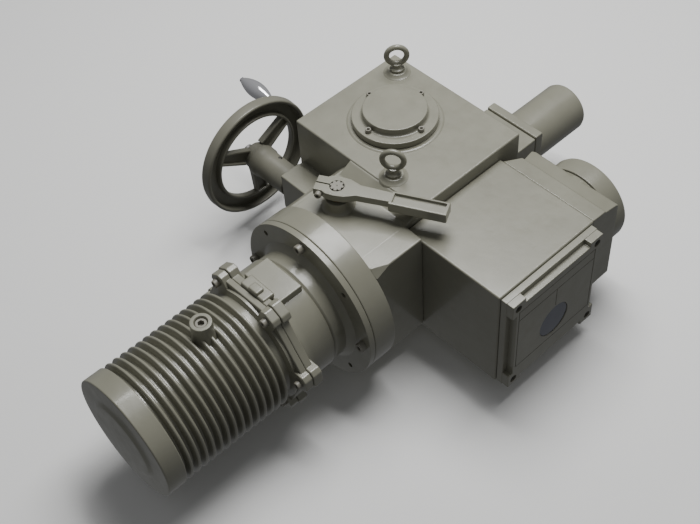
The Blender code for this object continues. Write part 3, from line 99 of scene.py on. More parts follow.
COVER_Z0, COVER_Z1 = 33.0, 232.0
CORNER, PANEL_IN = 28.0, 9.0
WINDOW_R, WINDOW_Y, WINDOW_Z = 31.5, -40.0, 114.0
TERM_X1, TERM_Z0, TERM_Y1 = 354.0, 63.0, 128.0
LID_R, LID_X, LID_Z, LID_Y1 = 73.5, 276.0, 155.0, 166.0
GLAND_X, GLAND_Y = 320.0, 98.0
EYES = (("a", -80.0, 83.0, 51), ("b", 89.0, -91.0, 35))

CAMERA_SPOT = (0.9969, -0.8048, 1.5829)     # metres, in the row frame, as are the lights
CAMERA_RIGHT = Vector((0.6824, 0.7288, -0.0571))
CAMERA_UP = Vector((-0.5321, 0.5488, 0.6448))
SENSOR_WIDTH, LENS = 36.0, 61.714

FINE = 128
ROUND = 64
SMALL = 32
HEX_SEGS = 48
WIRE_SEGS = 24


# ---------------------------------------------------------------- materials
def node(tree, kind, **values):
    made = tree.nodes.new(kind)
    for key, value in values.items():
        setattr(made, key, value)
    return made


def noise(tree, coords, scale, detail=3.0, rough=0.5):
    made = node(tree, "ShaderNodeTexNoise")
    made.inputs["Scale"].default_value = scale
    made.inputs["Detail"].default_value = detail
    made.inputs["Roughness"].default_value = rough
    tree.links.new(coords, made.inputs["Vector"])
    return made.outputs["Fac"]


def spread(tree, value, low, high, low_to, high_to):
    made = node(tree, "ShaderNodeMapRange")
    for key, number in (("From Min", low), ("From Max", high), ("To Min", low_to),
                        ("To Max", high_to)):
        made.inputs[key].default_value = number
    tree.links.new(value, made.inputs["Value"])
    return made.outputs["Result"]


def blend(tree, factor, first, second):
    made = node(tree, "ShaderNodeMix", data_type="RGBA")
    made.inputs[6].default_value = (*first, 1.0)
    made.inputs[7].default_value = (*second, 1.0)
    tree.links.new(factor, made.inputs[0])
    return made.outputs[2]


def surface(name, dark, light, rough, metal=0.0, patch=9.0, grain=700.0, bump=0.05, wave=0.0,
            coat=0.0, stretch=(1.0, 1.0, 1.0)):
    """Two tones in soft patches, uneven gloss, a fine grain and an optional slow waviness."""
    mat = bpy.data.materials.new(name)
    mat.use_nodes = True
    tree = mat.node_tree
    shader = tree.nodes["Principled BSDF"]
    coords = node(tree, "ShaderNodeTexCoord").outputs["Object"]
    if stretch != (1.0, 1.0, 1.0):
        mapping = node(tree, "ShaderNodeMapping")
        mapping.inputs["Scale"].default_value = stretch
        tree.links.new(coords, mapping.inputs["Vector"])
        coords = mapping.outputs["Vector"]
    broad = noise(tree, coords, patch, 4.0, 0.55)
    fine = noise(tree, coords, grain, 2.0, 0.6)
    tone = spread(tree, broad, 0.3, 0.7, 0.0, 1.0)
    tree.links.new(blend(tree, tone, dark, light), shader.inputs["Base Color"])
    gloss = noise(tree, coords, patch * 5, 3.0, 0.6)
    tree.links.new(spread(tree, gloss, 0.3, 0.7, rough * 0.82, rough * 1.2),
                   shader.inputs["Roughness"])
    shader.inputs["Metallic"].default_value = metal
    shader.inputs["Coat Weight"].default_value = coat
    shader.inputs["Coat Roughness"].default_value = 0.12
    skin = node(tree, "ShaderNodeBump")
    skin.inputs["Strength"].default_value = bump
    skin.inputs["Distance"].default_value = 0.0006
    tree.links.new(fine, skin.inputs["Height"])
    if wave > 0.0:
        slow = node(tree, "ShaderNodeBump")
        slow.inputs["Strength"].default_value = wave
        slow.inputs["Distance"].default_value = 0.003
        tree.links.new(noise(tree, coords, 45.0, 2.0, 0.45), slow.inputs["Height"])
        tree.links.new(slow.outputs["Normal"], skin.inputs["Normal"])
    tree.links.new(skin.outputs["Normal"], shader.inputs["Normal"])
    return mat


PAINT_DARK = (0.196, 0.192, 0.148)
PAINT_LIGHT = (0.232, 0.228, 0.178)
LOOKS = {
    "case_paint": surface("case_paint", PAINT_DARK, PAINT_LIGHT, 0.34, bump=0.10, wave=0.10,
                          coat=0.45),
    # painted shade: wheel_paint is the case's olive paint made darker, standing in for the shade
    # the handwheel sits in
    "wheel_paint": surface("wheel_paint", (0.150, 0.146, 0.114), (0.185, 0.181, 0.144), 0.38,
                           bump=0.12, wave=0.08, coat=0.2),
    "machined_steel": surface("machined_steel", (0.46, 0.45, 0.44), (0.58, 0.57, 0.55), 0.32,
                              metal=1.0, grain=1400.0, bump=0.08, stretch=(1.0, 6.0, 1.0)),
    "black_steel": surface("black_steel", (0.060, 0.058, 0.055), (0.100, 0.096, 0.090), 0.42,
                           metal=0.8, bump=0.08),
    "bronze": surface("bronze", (0.50, 0.31, 0.12), (0.62, 0.42, 0.18), 0.34, metal=1.0),
    "copper_wire": surface("copper_wire", (0.50, 0.20, 0.09), (0.68, 0.32, 0.16), 0.42,
                           metal=1.0, grain=300.0, bump=0.35),
    "chrome_plate": surface("chrome_plate", (0.60, 0.60, 0.62), (0.70, 0.70, 0.72), 0.12,
                            metal=0.75, patch=14.0, bump=0.01, coat=0.8),
    "seal_rubber": surface("seal_rubber", (0.018, 0.018, 0.018), (0.035, 0.035, 0.035), 0.78,
                           bump=0.25),
    "window_glass": surface("window_glass", (0.030, 0.036, 0.062), (0.060, 0.068, 0.105), 0.12,
                            patch=30.0, bump=0.01, coat=0.5),
    "black_plastic": surface("black_plastic", (0.030, 0.030, 0.032), (0.050, 0.050, 0.054), 0.5,
                             bump=0.20),
    "circuit_board": surface("circuit_board", (0.012, 0.10, 0.040), (0.030, 0.18, 0.080), 0.45,
                             patch=60.0, bump=0.15),
}
STEEL_PAINTED = surface("screw_paint", (0.190, 0.181, 0.148), (0.225, 0.215, 0.178), 0.38,
                        grain=900.0, bump=0.14, coat=0.10)


# ---------------------------------------------------------------- mesh helpers
def place(axis, along, radius, angle):
    c = radius * math.cos(angle)
    s = radius * math.sin(angle)
    if axis == "Z":
        return Vector((c, s, along))
    if axis == "X":
        return Vector((along, c, s))
    return Vector((s, along, c))


def finish(name, verts, faces, edge=0.0, steps=3):
    """Object from points in millimetres, with its sharp edges rounded by edge."""
    mesh = bpy.data.meshes.new(name)
    mesh.from_pydata([(Vector(v) + SHIFT) * MM for v in verts], [], faces)
    work = bmesh.new()
    work.from_mesh(mesh)
    bmesh.ops.remove_doubles(work, verts=work.verts, dist=0.000001)
    bmesh.ops.recalc_face_normals(work, faces=work.faces)
    if edge > 0.0:
        sharp = [e for e in work.edges
                 if len(e.link_faces) == 2 and e.calc_face_angle() > math.radians(25)]
        bmesh.ops.bevel(work, geom=sharp, offset=edge * MM, segments=steps, profile=0.5,
                        affect="EDGES", clamp_overlap=True)
    work.to_mesh(mesh)
    work.free()
    obj = bpy.data.objects.new(name, mesh)
    bpy.context.scene.collection.objects.link(obj)
    return obj


def ring_faces(rings, closed):
    faces = []
    spans = len(rings) if closed else len(rings) - 1
    for i in range(spans):
        a = rings[i]
        b = rings[(i + 1) % len(rings)]
        for j in range(len(a)):
            k = (j + 1) % len(a)
            quad = list(dict.fromkeys([a[j], a[k], b[k], b[j]]))
            if len(quad) > 2:
                faces.append(quad)
    return faces


def turns(count):
    """Evenly spaced angles of one full turn."""
    return [2 * math.pi * j / count for j in range(count)]


def six_sided(radius, angle):
    """Distance to the side of a hexagon whose corners lie at radius."""
    side = (angle + math.pi / 6) % (math.pi / 3) - math.pi / 6
    return radius * math.cos(math.pi / 6) / math.cos(side)


def stack(name, rows, edge=0.0):
    """Solid skinned over rows of points, closed at both ends."""
    verts = [point for row in rows for point in row]
    size = len(rows[0])
    rings = [list(range(size * i, size * (i + 1))) for i in range(len(rows))]
    return finish(name, verts, ring_faces(rings, False) + [rings[0], rings[-1]], edge)


def peg(name, spot, along, side, profile):
    """Small turned piece on a free axis, from (distance, radius) points."""
    out = along.cross(side)
    rows = []
    for distance, radius in profile:
        rows.append([spot + along * distance + side * radius * math.cos(a)
                     + out * radius * math.sin(a) for a in turns(SMALL)])
    return stack(name, rows)


def lathe(name, profile, axis, centre, segs=ROUND, edge=0.0, steps=3):
    """Solid of revolution from (along, radius) points; radius 0 closes on the axis."""
    verts = []
    rings = []
    base = Vector(centre)
    for along, radius in profile:
        if radius <= 0.0:
            verts.append(base + place(axis, along, 0.0, 0.0))
            rings.append([len(verts) - 1] * segs)
            continue
        rings.append(list(range(len(verts), len(verts) + segs)))
        verts += [base + place(axis, along, radius, angle) for angle in turns(segs)]
    closed = profile[0][1] > 0.0 or profile[-1][1] > 0.0
    return finish(name, verts, ring_faces(rings, closed), edge, steps)


def prism(name, outline, axis, low, high, edge=0.0, steps=3):
    """Extruded outline.  Pairs are (y, z) for X, (x, z) for Y and (x, y) for Z."""
    verts = []
    for level in (low, high):
        for u, v in outline:
            verts.append({"X": (level, u, v), "Y": (u, level, v), "Z": (u, v, level)}[axis])
    n = len(outline)
    faces = [list(range(n)), list(range(n, 2 * n))]
    faces += [[i, (i + 1) % n, n + (i + 1) % n, n + i] for i in range(n)]
    return finish(name, verts, faces, edge, steps)


def box(name, x, y, z, edge=0.0, steps=3):
    outline = [(x[0], y[0]), (x[1], y[0]), (x[1], y[1]), (x[0], y[1])]
    return prism(name, outline, "Z", z[0], z[1], edge, steps)


def combine(target, tools, mode):
    """Union or difference of a target with many shapes, made into plain mesh."""
    if not tools:
        return
    group = bpy.data.collections.new(target.name + mode)
    bpy.context.scene.collection.children.link(group)
    for tool in tools:
        bpy.context.scene.collection.objects.unlink(tool)
        group.objects.link(tool)
    mod = target.modifiers.new(mode, "BOOLEAN")
    mod.operation = mode
    mod.solver = "EXACT"
    mod.operand_type = "COLLECTION"
    mod.collection = group
    settle(target)
    for tool in tools:
        bpy.data.objects.remove(tool)
    bpy.data.collections.remove(group)


def settle(obj):
    """Turns an object's modifiers into plain mesh."""
    bpy.context.view_layer.update()
    graph = bpy.context.evaluated_depsgraph_get()
    made = bpy.data.meshes.new_from_object(obj.evaluated_get(graph))
    obj.modifiers.clear()
    obj.data = made


def ripple(obj, amount, size):
    """Uneven sand-cast fins: moves points towards the motor axis by slow noise."""
    middle = (Vector((AX, 0.0, AZ)) + SHIFT) * MM
    for point in obj.data.vertices:
        out = point.co - middle
        out.y = 0.0
        along = point.co.y / MM - SHIFT.y
        if out.length < (FIN_ROOT - 1.0) * MM or along > FIN_FIRST + 8 or along < MOTOR_END + 2:
            continue
        if out.length > (FIN_R + 0.2) * MM:
            continue
        wave = noise_at(point.co * (1000.0 / size)) - 0.8
        point.co += out.normalized() * (wave * amount * MM)


def show(obj, body, slot, nodes=(), look=None, angle=32, pivot=None):
    """Shades a finished shape, gives it its material and hangs it on its body."""
    mesh = obj.data
    mesh.materials.clear()
    mesh.materials.append(look or LOOKS[slot])
    for face in mesh.polygons:
        face.use_smooth = True
        face.material_index = 0
    mesh.set_sharp_from_angle(angle=math.radians(angle))
    even = obj.modifiers.new("even_shading", "WEIGHTED_NORMAL")
    even.keep_sharp = True
    even.weight = 60
    settle(obj)
    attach(obj, body)
    if nodes:
        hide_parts(*nodes)
    return obj


ROOT = "actuator_body"


def cap_screw(name, axis, centre, sign, head_r, head_h, look, body=ROOT, nodes=(), sink=4.0):
    """Socket head cap screw: rounded head rim and a six-sided socket."""
    key = head_r * 0.52
    profile = [(-sink * sign, head_r * 0.55, False), (0.0, head_r * 0.55, False),
               (0.0, head_r, False), (head_h * 0.86 * sign, head_r, False),
               (head_h * sign, head_r * 0.88, False), (head_h * sign, key * 1.08, False),
               (head_h * 0.93 * sign, key, True), (head_h * 0.4 * sign, key, True)]
    rows = []
    for along, radius, six in profile:
        rows.append([Vector(centre) + place(axis, along, six_sided(radius, a) if six else radius, a)
                     for a in turns(HEX_SEGS)])
    return show(stack(name, rows), body, "black_steel", nodes, look, 40)


# ---------------------------------------------------------------- gear case
def gear_case():
    case = box("case_shell", (CASE_X0, CASE_X1), (-CASE_Y, CASE_Y), (BASE_T + GAP, TOP), 3.0, 4)
    centre = (AX, 0, AZ)
    collar = lathe("collar", [(COLLAR_Y0, 0), (COLLAR_Y0, COLLAR_R), (COLLAR_Y1, COLLAR_R),
                              (COLLAR_Y1, 0)], "Y", centre, FINE, 2.0)
    drum = lathe("drum", [(COLLAR_Y1 - 8, 0), (COLLAR_Y1 - 8, COLLAR_R - 1.6),
                          (-CASE_Y + 6, COLLAR_R - 1.6), (-CASE_Y + 6, 0)], "Y", centre, FINE)
    trims = [box("trim_top", (AX - 200, AX + 200), (COLLAR_Y1, -60), (NECK_TOP - 0.6, TOP + 60)),
             box("trim_side", (CASE_X1 - 0.4, AX + 220), (NECK_STEP_Y - 0.5, -60),
                 (-60, TOP + 60)),
             box("trim_right", (NECK_X1 - 0.5, AX + 220), (COLLAR_Y1, -60), (-60, TOP + 60))]
    combine(drum, trims, "DIFFERENCE")
    slope = [(COLLAR_Y1 - 8, NECK_BOT), (-CASE_Y + 6, NECK_BOT), (-CASE_Y + 6, TOP - 2),
             (-CASE_Y - 1, TOP - 2), (NECK_STEP_Y + 4, NECK_TOP), (COLLAR_Y1 - 8, NECK_TOP)]
    parts = [collar, drum,
             prism("neck", slope, "X", AX - 84, CASE_X1 - 0.6, 2.0),
             box("neck_side", (AX, NECK_X1), (COLLAR_Y1 - 0.6, NECK_STEP_Y),
                 (NECK_BOT - 0.5, NECK_TOP - 0.3), 2.5),
             box("rear_boss", (AX - BOSS_HALF, AX + BOSS_HALF), (CASE_Y - 12, BOSS_Y),
                 (AZ - BOSS_HALF + 4, AZ + BOSS_HALF + 2), 2.5),
             box("pad_link", (BRACKET_X0, 10), (BRACKET_Y1 + GAP, -CASE_Y + 4),
                 (BRACKET_Z0 + 2, BRACKET_Z1 - 3), 1.2),
             box("pad", (BRACKET_X1 + GAP, 10), (BRACKET_Y0, BRACKET_Y1),
                 (BRACKET_Z0, BRACKET_Z1), 2.0),
             lathe("lever_boss", [(NECK_TOP - 8, 0), (NECK_TOP - 8, 30), (NECK_TOP, 27),
                                  (NECK_TOP + 3, 23), (NECK_TOP + 8, 21), (NECK_TOP + 18, 20.5),
                                  (NECK_TOP + 18, 0)], "Z", (LEVER_X, LEVER_Y, 0), ROUND, 1.2),
             lathe("seat", [(TOP - 5, 0), (TOP - 5, SEAT_R + 1), (TOP + 0.2, SEAT_R),
                            (TOP + 1.6, SEAT_R - 3), (TOP + 1.6, 0)], "Z", (0, 0, 0), FINE, 0.8)]
    for tag, x, y, _turn in EYES:
        parts.append(lathe("eye_boss_" + tag, [(TOP - 5, 0), (TOP - 5, 26), (TOP + 0.4, 23),
                                               (TOP + 2.2, 19), (TOP + 5, 16.5), (TOP + 6, 15),
                                               (TOP + 6, 0)], "Z", (x, y, 0), ROUND, 1.0))
    combine(case, parts, "UNION")
    level = NECK_TOP + 1.5
    start = COLLAR_Y1 - 1.2
    ease = [(NECK_X1 - 15, start, level), (NECK_X1 + 1, start, NECK_TOP - 15),
            (NECK_X1 + 1, start, level), (NECK_X1 + 1, COLLAR_Y1 + 34, level)]
    holes = [finish("corner_ease", ease, [(0, 1, 2), (0, 1, 3), (1, 2, 3), (0, 2, 3)]),
             box("hollow", (CASE_X0 + WALL, CASE_X1 - WALL), (-88, CASE_Y - WALL),
                 (BASE_T + WALL, TOP - WALL), 8.0),
             lathe("neck_hollow", [(COLLAR_Y0 - 10, 0), (COLLAR_Y0 - 10, 88), (-106, 88),
                                   (-106, 0)], "Y", centre, ROUND)]

    def bore(name, axis, spot, radius, low, high):
        holes.append(lathe(name, [(low, 0), (low, radius), (high, radius), (high, 0)], axis,
                           spot, SMALL))

    bore("top_bore", "Z", (0, 0, 0), 55.0, TOP - 40, TOP + 20)
    bore("base_bore", "Z", (0, 0, 0), 84.3, 0, BASE_T + 30)
    bore("worm_bore_a", "Y", centre, 31.3, -150, -68)
    bore("worm_bore_b", "Y", centre, 31.3, 90, BOSS_Y + 20)
    bore("hand_bore", "X", (0, HAND_Y, AZ), 12.0, BRACKET_X1 - 20, 40)
    bore("lever_bore", "Z", (LEVER_X, LEVER_Y, 0), 13.3, AZ + 40, TOP + 40)
    bore("wire_way", "X", (0, 60, 190), 15.0, CASE_X1 - 40, CASE_X1 + 20)
    combine(case, holes, "DIFFERENCE")
    show(case, ROOT, "case_paint", ["gear_housing"])


def base_flange():
    profile = [(0, BASE_R), (BASE_T, BASE_R), (BASE_T, 84), (BASE_T + 20, 84),
               (BASE_T + 20, 60.3), (BASE_T + 2, 60.3), (BASE_T + 2, 50.5), (0, 50.5)]
    base = lathe("valve_flange", profile, "Z", (0, 0, 0), FINE, 1.0)
    holes = []
    for k in range(4):
        spot = place("Z", 0, 82.5, math.pi / 4 + math.pi / 2 * k)
        holes.append(lathe("valve_hole_%d" % k, [(-5, 0), (-5, 8.75), (18, 8.75), (18, 0)], "Z",
                           spot, SMALL))
    combine(base, holes, "DIFFERENCE")
    show(base, ROOT, "case_paint", ["output_flange"])


def cover_plate():
    profile = [(TOP - 37, 44.3), (TOP - 37, 54.7), (TOP + 1.8, 54.7), (TOP + 1.8, COVER_R),
               (TOP + COVER_T, COVER_R), (TOP + COVER_T, CAP_R + 2.5),
               (TOP + COVER_T + 2.5, CAP_R), (TOP + CAP_H, CAP_R), (TOP + CAP_H, 0),
               (TOP + CAP_H - 7, 0), (TOP + CAP_H - 7, 44.3)]
    cover = lathe("round_cover", profile, "Z", (0, 0, 0), FINE, 1.6, 4)
    bumps = []
    for k in range(4):
        spot = place("Z", 0, COVER_BOLT_R + 1.5, math.pi / 2 * k)
        bumps.append(lathe("screw_boss_%d" % k, [(TOP + 4, 0), (TOP + 4, 8.6),
                                                 (TOP + COVER_T - 0.2, 8.6),
                                                 (TOP + COVER_T - 0.2, 0)], "Z", spot, SMALL,
                           1.0))
    combine(cover, bumps, "UNION")
    show(cover, ROOT, "case_paint", ["top_cover"])
    for k in range(4):
        spot = place("Z", TOP + COVER_T, COVER_BOLT_R, math.pi / 2 * k)
        cap_screw("cover_screw_%d" % (k + 1), "Z", spot, 1, 5.0, 6.0, STEEL_PAINTED,
                  nodes=["top_cover_screw_%d" % (k + 1)])


def lifting_eye(tag, x, y, turn):
    turn = math.radians(turn)
    floor = TOP + 6 + GAP
    ring_z = floor + 29.0
    ring_r = 16.8
    wire = 4.65
    verts = []
    rings = []
    for angle in turns(ROUND):
        rings.append(list(range(len(verts), len(verts) + WIRE_SEGS)))
        for side in turns(WIRE_SEGS):
            out = ring_r + wire * math.cos(side)
            flat = wire * math.sin(side)
            u = out * math.cos(angle)
            px = x + u * math.cos(turn) - flat * math.sin(turn)
            py = y + u * math.sin(turn) + flat * math.cos(turn)
            verts.append((px, py, ring_z + out * math.sin(angle)))
    eye = finish("eye_ring_" + tag, verts, ring_faces(rings, True))
    stem = lathe("eye_stem_" + tag, [(floor, 0), (floor, 12.5), (floor + 3.6, 12.5),
                                     (floor + 5.2, 9.5), (floor + 7.5, 8.2),
                                     (floor + 10, 8.0), (floor + 13, 8.6),
                                     (ring_z - ring_r + 1, 6.0), (ring_z - ring_r + 1, 0)], "Z",
                 (x, y, 0), SMALL, 0.6)
    combine(eye, [stem], "UNION")
    show(eye, ROOT, "case_paint", ["lifting_eye_" + tag])


# ---------------------------------------------------------------- declutch lever
def lever():
    c = math.cos(LEVER_DIR)
    s = math.sin(LEVER_DIR)

    def world(points):
        return [(LEVER_X + u * c - v * s, LEVER_Y + u * s + v * c) for u, v in points]

    grip0 = LEVER_LEN - GRIP_L
    half = GRIP_W / 2
    head = [(16, 19.0), (0, 20.5), (-14, 19.0), (-19, 15.5), (-34, 15.0)]
    side = [(grip0 + 4, 9.5), (34, 11.5)]
    points = side + head + [(u, -v) for u, v in reversed(head)]
    points += [(u, -v) for u, v in reversed(side)]
    arm = prism("lever_arm", world(points), "Z", LEVER_Z, LEVER_Z + LEVER_T, 1.0)
    grip = prism("lever_grip", world([(grip0, -half), (LEVER_LEN, -half), (LEVER_LEN, half),
                                      (grip0, half)]), "Z", LEVER_Z - 5, LEVER_Z + LEVER_T - 0.2,
                 1.6)
    combine(arm, [grip], "UNION")
    pocket = prism("lever_pocket", world([(grip0 + 4.5, -half + 3.5),
                                          (LEVER_LEN - 4.5, -half + 3.5),
                                          (LEVER_LEN - 4.5, half - 3.5),
                                          (grip0 + 4.5, half - 3.5)]), "Z",
                   LEVER_Z + LEVER_T - 5, LEVER_Z + 30, 1.2)
    slot = prism("lever_slot", world([(-40, -1.3), (-5, -1.3), (-5, 1.3), (-40, 1.3)]), "Z",
                 LEVER_Z - 5, LEVER_Z + 30)
    eye = lathe("lever_bore", [(LEVER_Z - 5, 0), (LEVER_Z - 5, 11.6), (LEVER_Z + 30, 11.6),
                               (LEVER_Z + 30, 0)], "Z", (LEVER_X, LEVER_Y, 0), ROUND)
    combine(arm, [pocket, slot, eye], "DIFFERENCE")
    show(arm, "lever", "case_paint", ["declutch_lever"])
    # clamp screw across the split
    spot = Vector((LEVER_X - 24 * c, LEVER_Y - 24 * s, LEVER_Z + LEVER_T / 2))
    screw = peg("clamp_screw", spot, Vector((-s, c, 0)), Vector((0, 0, 1)),
                ((10.0, 3.0), (-16.0, 3.0), (-16.0, 5.2), (-22.6, 5.2), (-23.4, 4.5), (-23.4, 2.6),
                 (-19.5, 2.4)))
    show(screw, "lever", "black_steel", ["lever_clamp_screw"], STEEL_PAINTED)
    # toothed end of the pivot shaft, flush in the lever's eye
    steps_per_tooth = 8
    shaft = ((AZ + 30.5, 10.0, 0), (LEVER_Z - 3.5, 10.0, 0), (LEVER_Z - 3.5, 15.0, 0),
             (LEVER_Z - GAP, 15.0, 0), (LEVER_Z - GAP, 10.8, 1),
             (LEVER_Z + LEVER_T + 0.4, 10.8, 1), (LEVER_Z + LEVER_T + 1.0, 10.2, 1))
    rows = []
    for z, radius, toothed in shaft:
        row = []
        for j, angle in enumerate(turns(8 * steps_per_tooth)):
            r = radius - (2.2 if toothed and j % steps_per_tooth < 3 else 0.0)
            row.append((LEVER_X + r * math.cos(angle), LEVER_Y + r * math.sin(angle), z))
        rows.append(row)
    pivot = stack("pivot_shaft", rows)
    dimple = lathe("pivot_dimple", [(LEVER_Z + LEVER_T - 1.5, 0), (LEVER_Z + LEVER_T + 3, 2.4),
                                    (LEVER_Z + LEVER_T + 3, 0)], "Z", (LEVER_X, LEVER_Y, 0),
                   SMALL)
    combine(pivot, [dimple], "DIFFERENCE")
    show(pivot, "lever", "machined_steel", ["declutch_shaft"], STEEL_PAINTED)


# ---------------------------------------------------------------- handwheel
def hand_wheel():
    axis = (0, HAND_Y, AZ)
    rim = [(HW_X0 + 1, HW_R - 5), (HW_X0 + 3, HW_R - 1.5), (HW_X0 + 8, HW_R),
           (HW_X1 - 2, HW_R - 0.6), (HW_X1, HW_R - 2.5), (HW_X1, HW_R - 5),
           (HW_X1 - 1, HW_R - 6.5), (HW_X0 + 9, HW_R - 8.5), (HW_X0 + 9, HW_IN + 6.5),
           (HW_X1 - 4, HW_IN + 5), (HW_X1 - 3, HW_IN + 3.5), (HW_X1 - 3, HW_IN + 1.5),
           (HW_X1 - 4.5, HW_IN + 0.2), (HW_X0 + 7, HW_IN + 1), (HW_X0 + 3, HW_IN + 6)]
    wheel = lathe("wheel_rim", rim, "X", axis, FINE, 1.2, 3)
    bore = 10.3
    parts = [lathe("wheel_hub", [(SPOKE_X0, bore), (SPOKE_X0, HUB_R - 7), (HUB_X0 + 6, HUB_R - 6),
                                 (HUB_X0 + 8, HUB_R - 2.6), (HUB_X0 + 11, HUB_R - 2),
                                 (HUB_X0 + 22, HUB_R - 2.5), (HUB_X0 + 27, HUB_R - 4.5),
                                 (HUB_X1 - 1, HUB_R - 5.5), (HUB_X1, HUB_R - 6.5),
                                 (HUB_X1, bore)], "X", axis, ROUND, 1.2)]
    for k in range(3):
        angle = math.radians(30) + 2 * math.pi * k / 3
        c = math.cos(angle)
        s = math.sin(angle)
        for tag, v00, v01, v10, v11, x0, x1 in (
                ("web", -15.0, 15.0, -12.0, 12.0, SPOKE_X0, SPOKE_X0 + 6),
                ("rib_a", -15.0, -10.0, -12.0, -7.6, SPOKE_X0 + 2, HW_X1 - 3.5),
                ("rib_b", 10.0, 15.0, 7.6, 12.0, SPOKE_X0 + 2, HW_X1 - 3.5)):
            corners = ((HUB_R - 8, v00), (HW_IN + 3, v10), (HW_IN + 3, v11), (HUB_R - 8, v01))
            outline = [(HAND_Y + u * c - v * s, AZ + u * s + v * c) for u, v in corners]
            parts.append(prism("spoke_%s_%d" % (tag, k), outline, "X", x0, x1, 1.8))
    combine(wheel, parts, "UNION")
    # the handwheel takes the darker wheel_paint, which is painted shade over the same paint as the
    # case
    show(wheel, "handwheel", "wheel_paint", ["handwheel"], angle=38)
    spot = Vector(axis) + place("X", 0, CRANK_R, CRANK_ANG)
    start = HW_X0 - 3.0
    profile = [(start, 3.6)]
    count = 36
    for k in range(count + 1):
        t = k / count
        swell = 14.3 * math.sin(math.pi * (0.12 + 0.80 * t)) ** 0.9
        tip = math.sqrt(max(0.0, 1.0 - max(0.0, (t - 0.93) / 0.08) ** 2))
        profile.append((start - CRANK_L * t, max(3.7, swell * (0.4 + 0.6 * tip))))
    profile.append((start - CRANK_L, 3.6))
    grip = lathe("crank_grip", profile, "X", spot, ROUND)
    show(grip, "crank", "chrome_plate", ["crank_handle"], angle=50)
    pin = lathe("crank_pin", [(start - CRANK_L - 2, 0), (start - CRANK_L - 1.6, 3.0),
                              (start - CRANK_L - 0.4, 4.6), (start - CRANK_L - 0.4, 3.2),
                              (start + 0.5, 3.2), (start + 0.5, 6.4), (HW_X0 + 2, 6.4),
                              (HW_X0 + 2, 3.2), (HW_X0 + 8, 3.2), (HW_X0 + 8, 0)], "X", spot,
                SMALL)
    show(pin, "handwheel", "machined_steel", ["crank_spindle"], LOOKS["chrome_plate"])
    shaft = lathe("wheel_shaft", [(HW_X0 - 9, 0), (HW_X0 - 9, 8.8), (HW_X0 - 7.8, 10),
                                  (AX - 37, 10), (AX - 37, 0)], "X", axis, SMALL)
    show(shaft, "handwheel", "machined_steel", ["handwheel_shaft"])
    bracket = box("wheel_bracket", (BRACKET_X0, BRACKET_X1), (BRACKET_Y0, BRACKET_Y1),
                  (BRACKET_Z0, BRACKET_Z1), 2.4, 4)
    hole = lathe("bracket_hole", [(BRACKET_X0 + 5, 0), (BRACKET_X0 + 5, 15.3),
                                  (BRACKET_X1 + 10, 15.3), (BRACKET_X1 + 10, 0)], "X", axis,
                 SMALL)
    way = lathe("bracket_way", [(BRACKET_X0 - 10, 0), (BRACKET_X0 - 10, 10.3),
                                (BRACKET_X0 + 20, 10.3), (BRACKET_X0 + 20, 0)], "X", axis, SMALL)
    combine(bracket, [hole, way], "DIFFERENCE")
    show(bracket, ROOT, "case_paint", ["handwheel_bracket"])
    # set screw in the hub
    angle = math.radians(62)
    seat = Vector(axis) + place("X", -150.0, HUB_R - 5.2, angle)
    screw = peg("hub_set_screw", seat, place("X", 0, 1.0, angle), Vector((1, 0, 0)),
                ((-2, 3.6), (0.8, 3.6), (1.3, 3.0), (1.3, 1.7), (-0.8, 1.6)))
    show(screw, "handwheel", "black_steel")


# ---------------------------------------------------------------- motor
def lug_shapes(tag, low, high, out, wide, plate_low, plate_high):
    """Radial lugs, and the six-sided plate whose corners they sit on."""
    made = []
    half = wide / 2
    for k, angle in enumerate(LUG_ANGLES):
        c = math.cos(angle)
        s = math.sin(angle)
        shape = [(86, -half), (out - 6, -half), (out, -half + 7), (out, half - 7),
                 (out - 6, half), (86, half)]
        outline = [(AX + u * c - v * s, AZ + u * s + v * c) for u, v in shape]
        made.append(prism("%s_lug_%d" % (tag, k), outline, "Y", low, high, 1.8))
    hexagon = [(AX + LUG_PLATE_R * math.cos(angle), AZ + LUG_PLATE_R * math.sin(angle))
               for angle in LUG_ANGLES]
    made.append(prism(tag + "_plate", hexagon, "Y", plate_low, plate_high, 1.6))
    return made


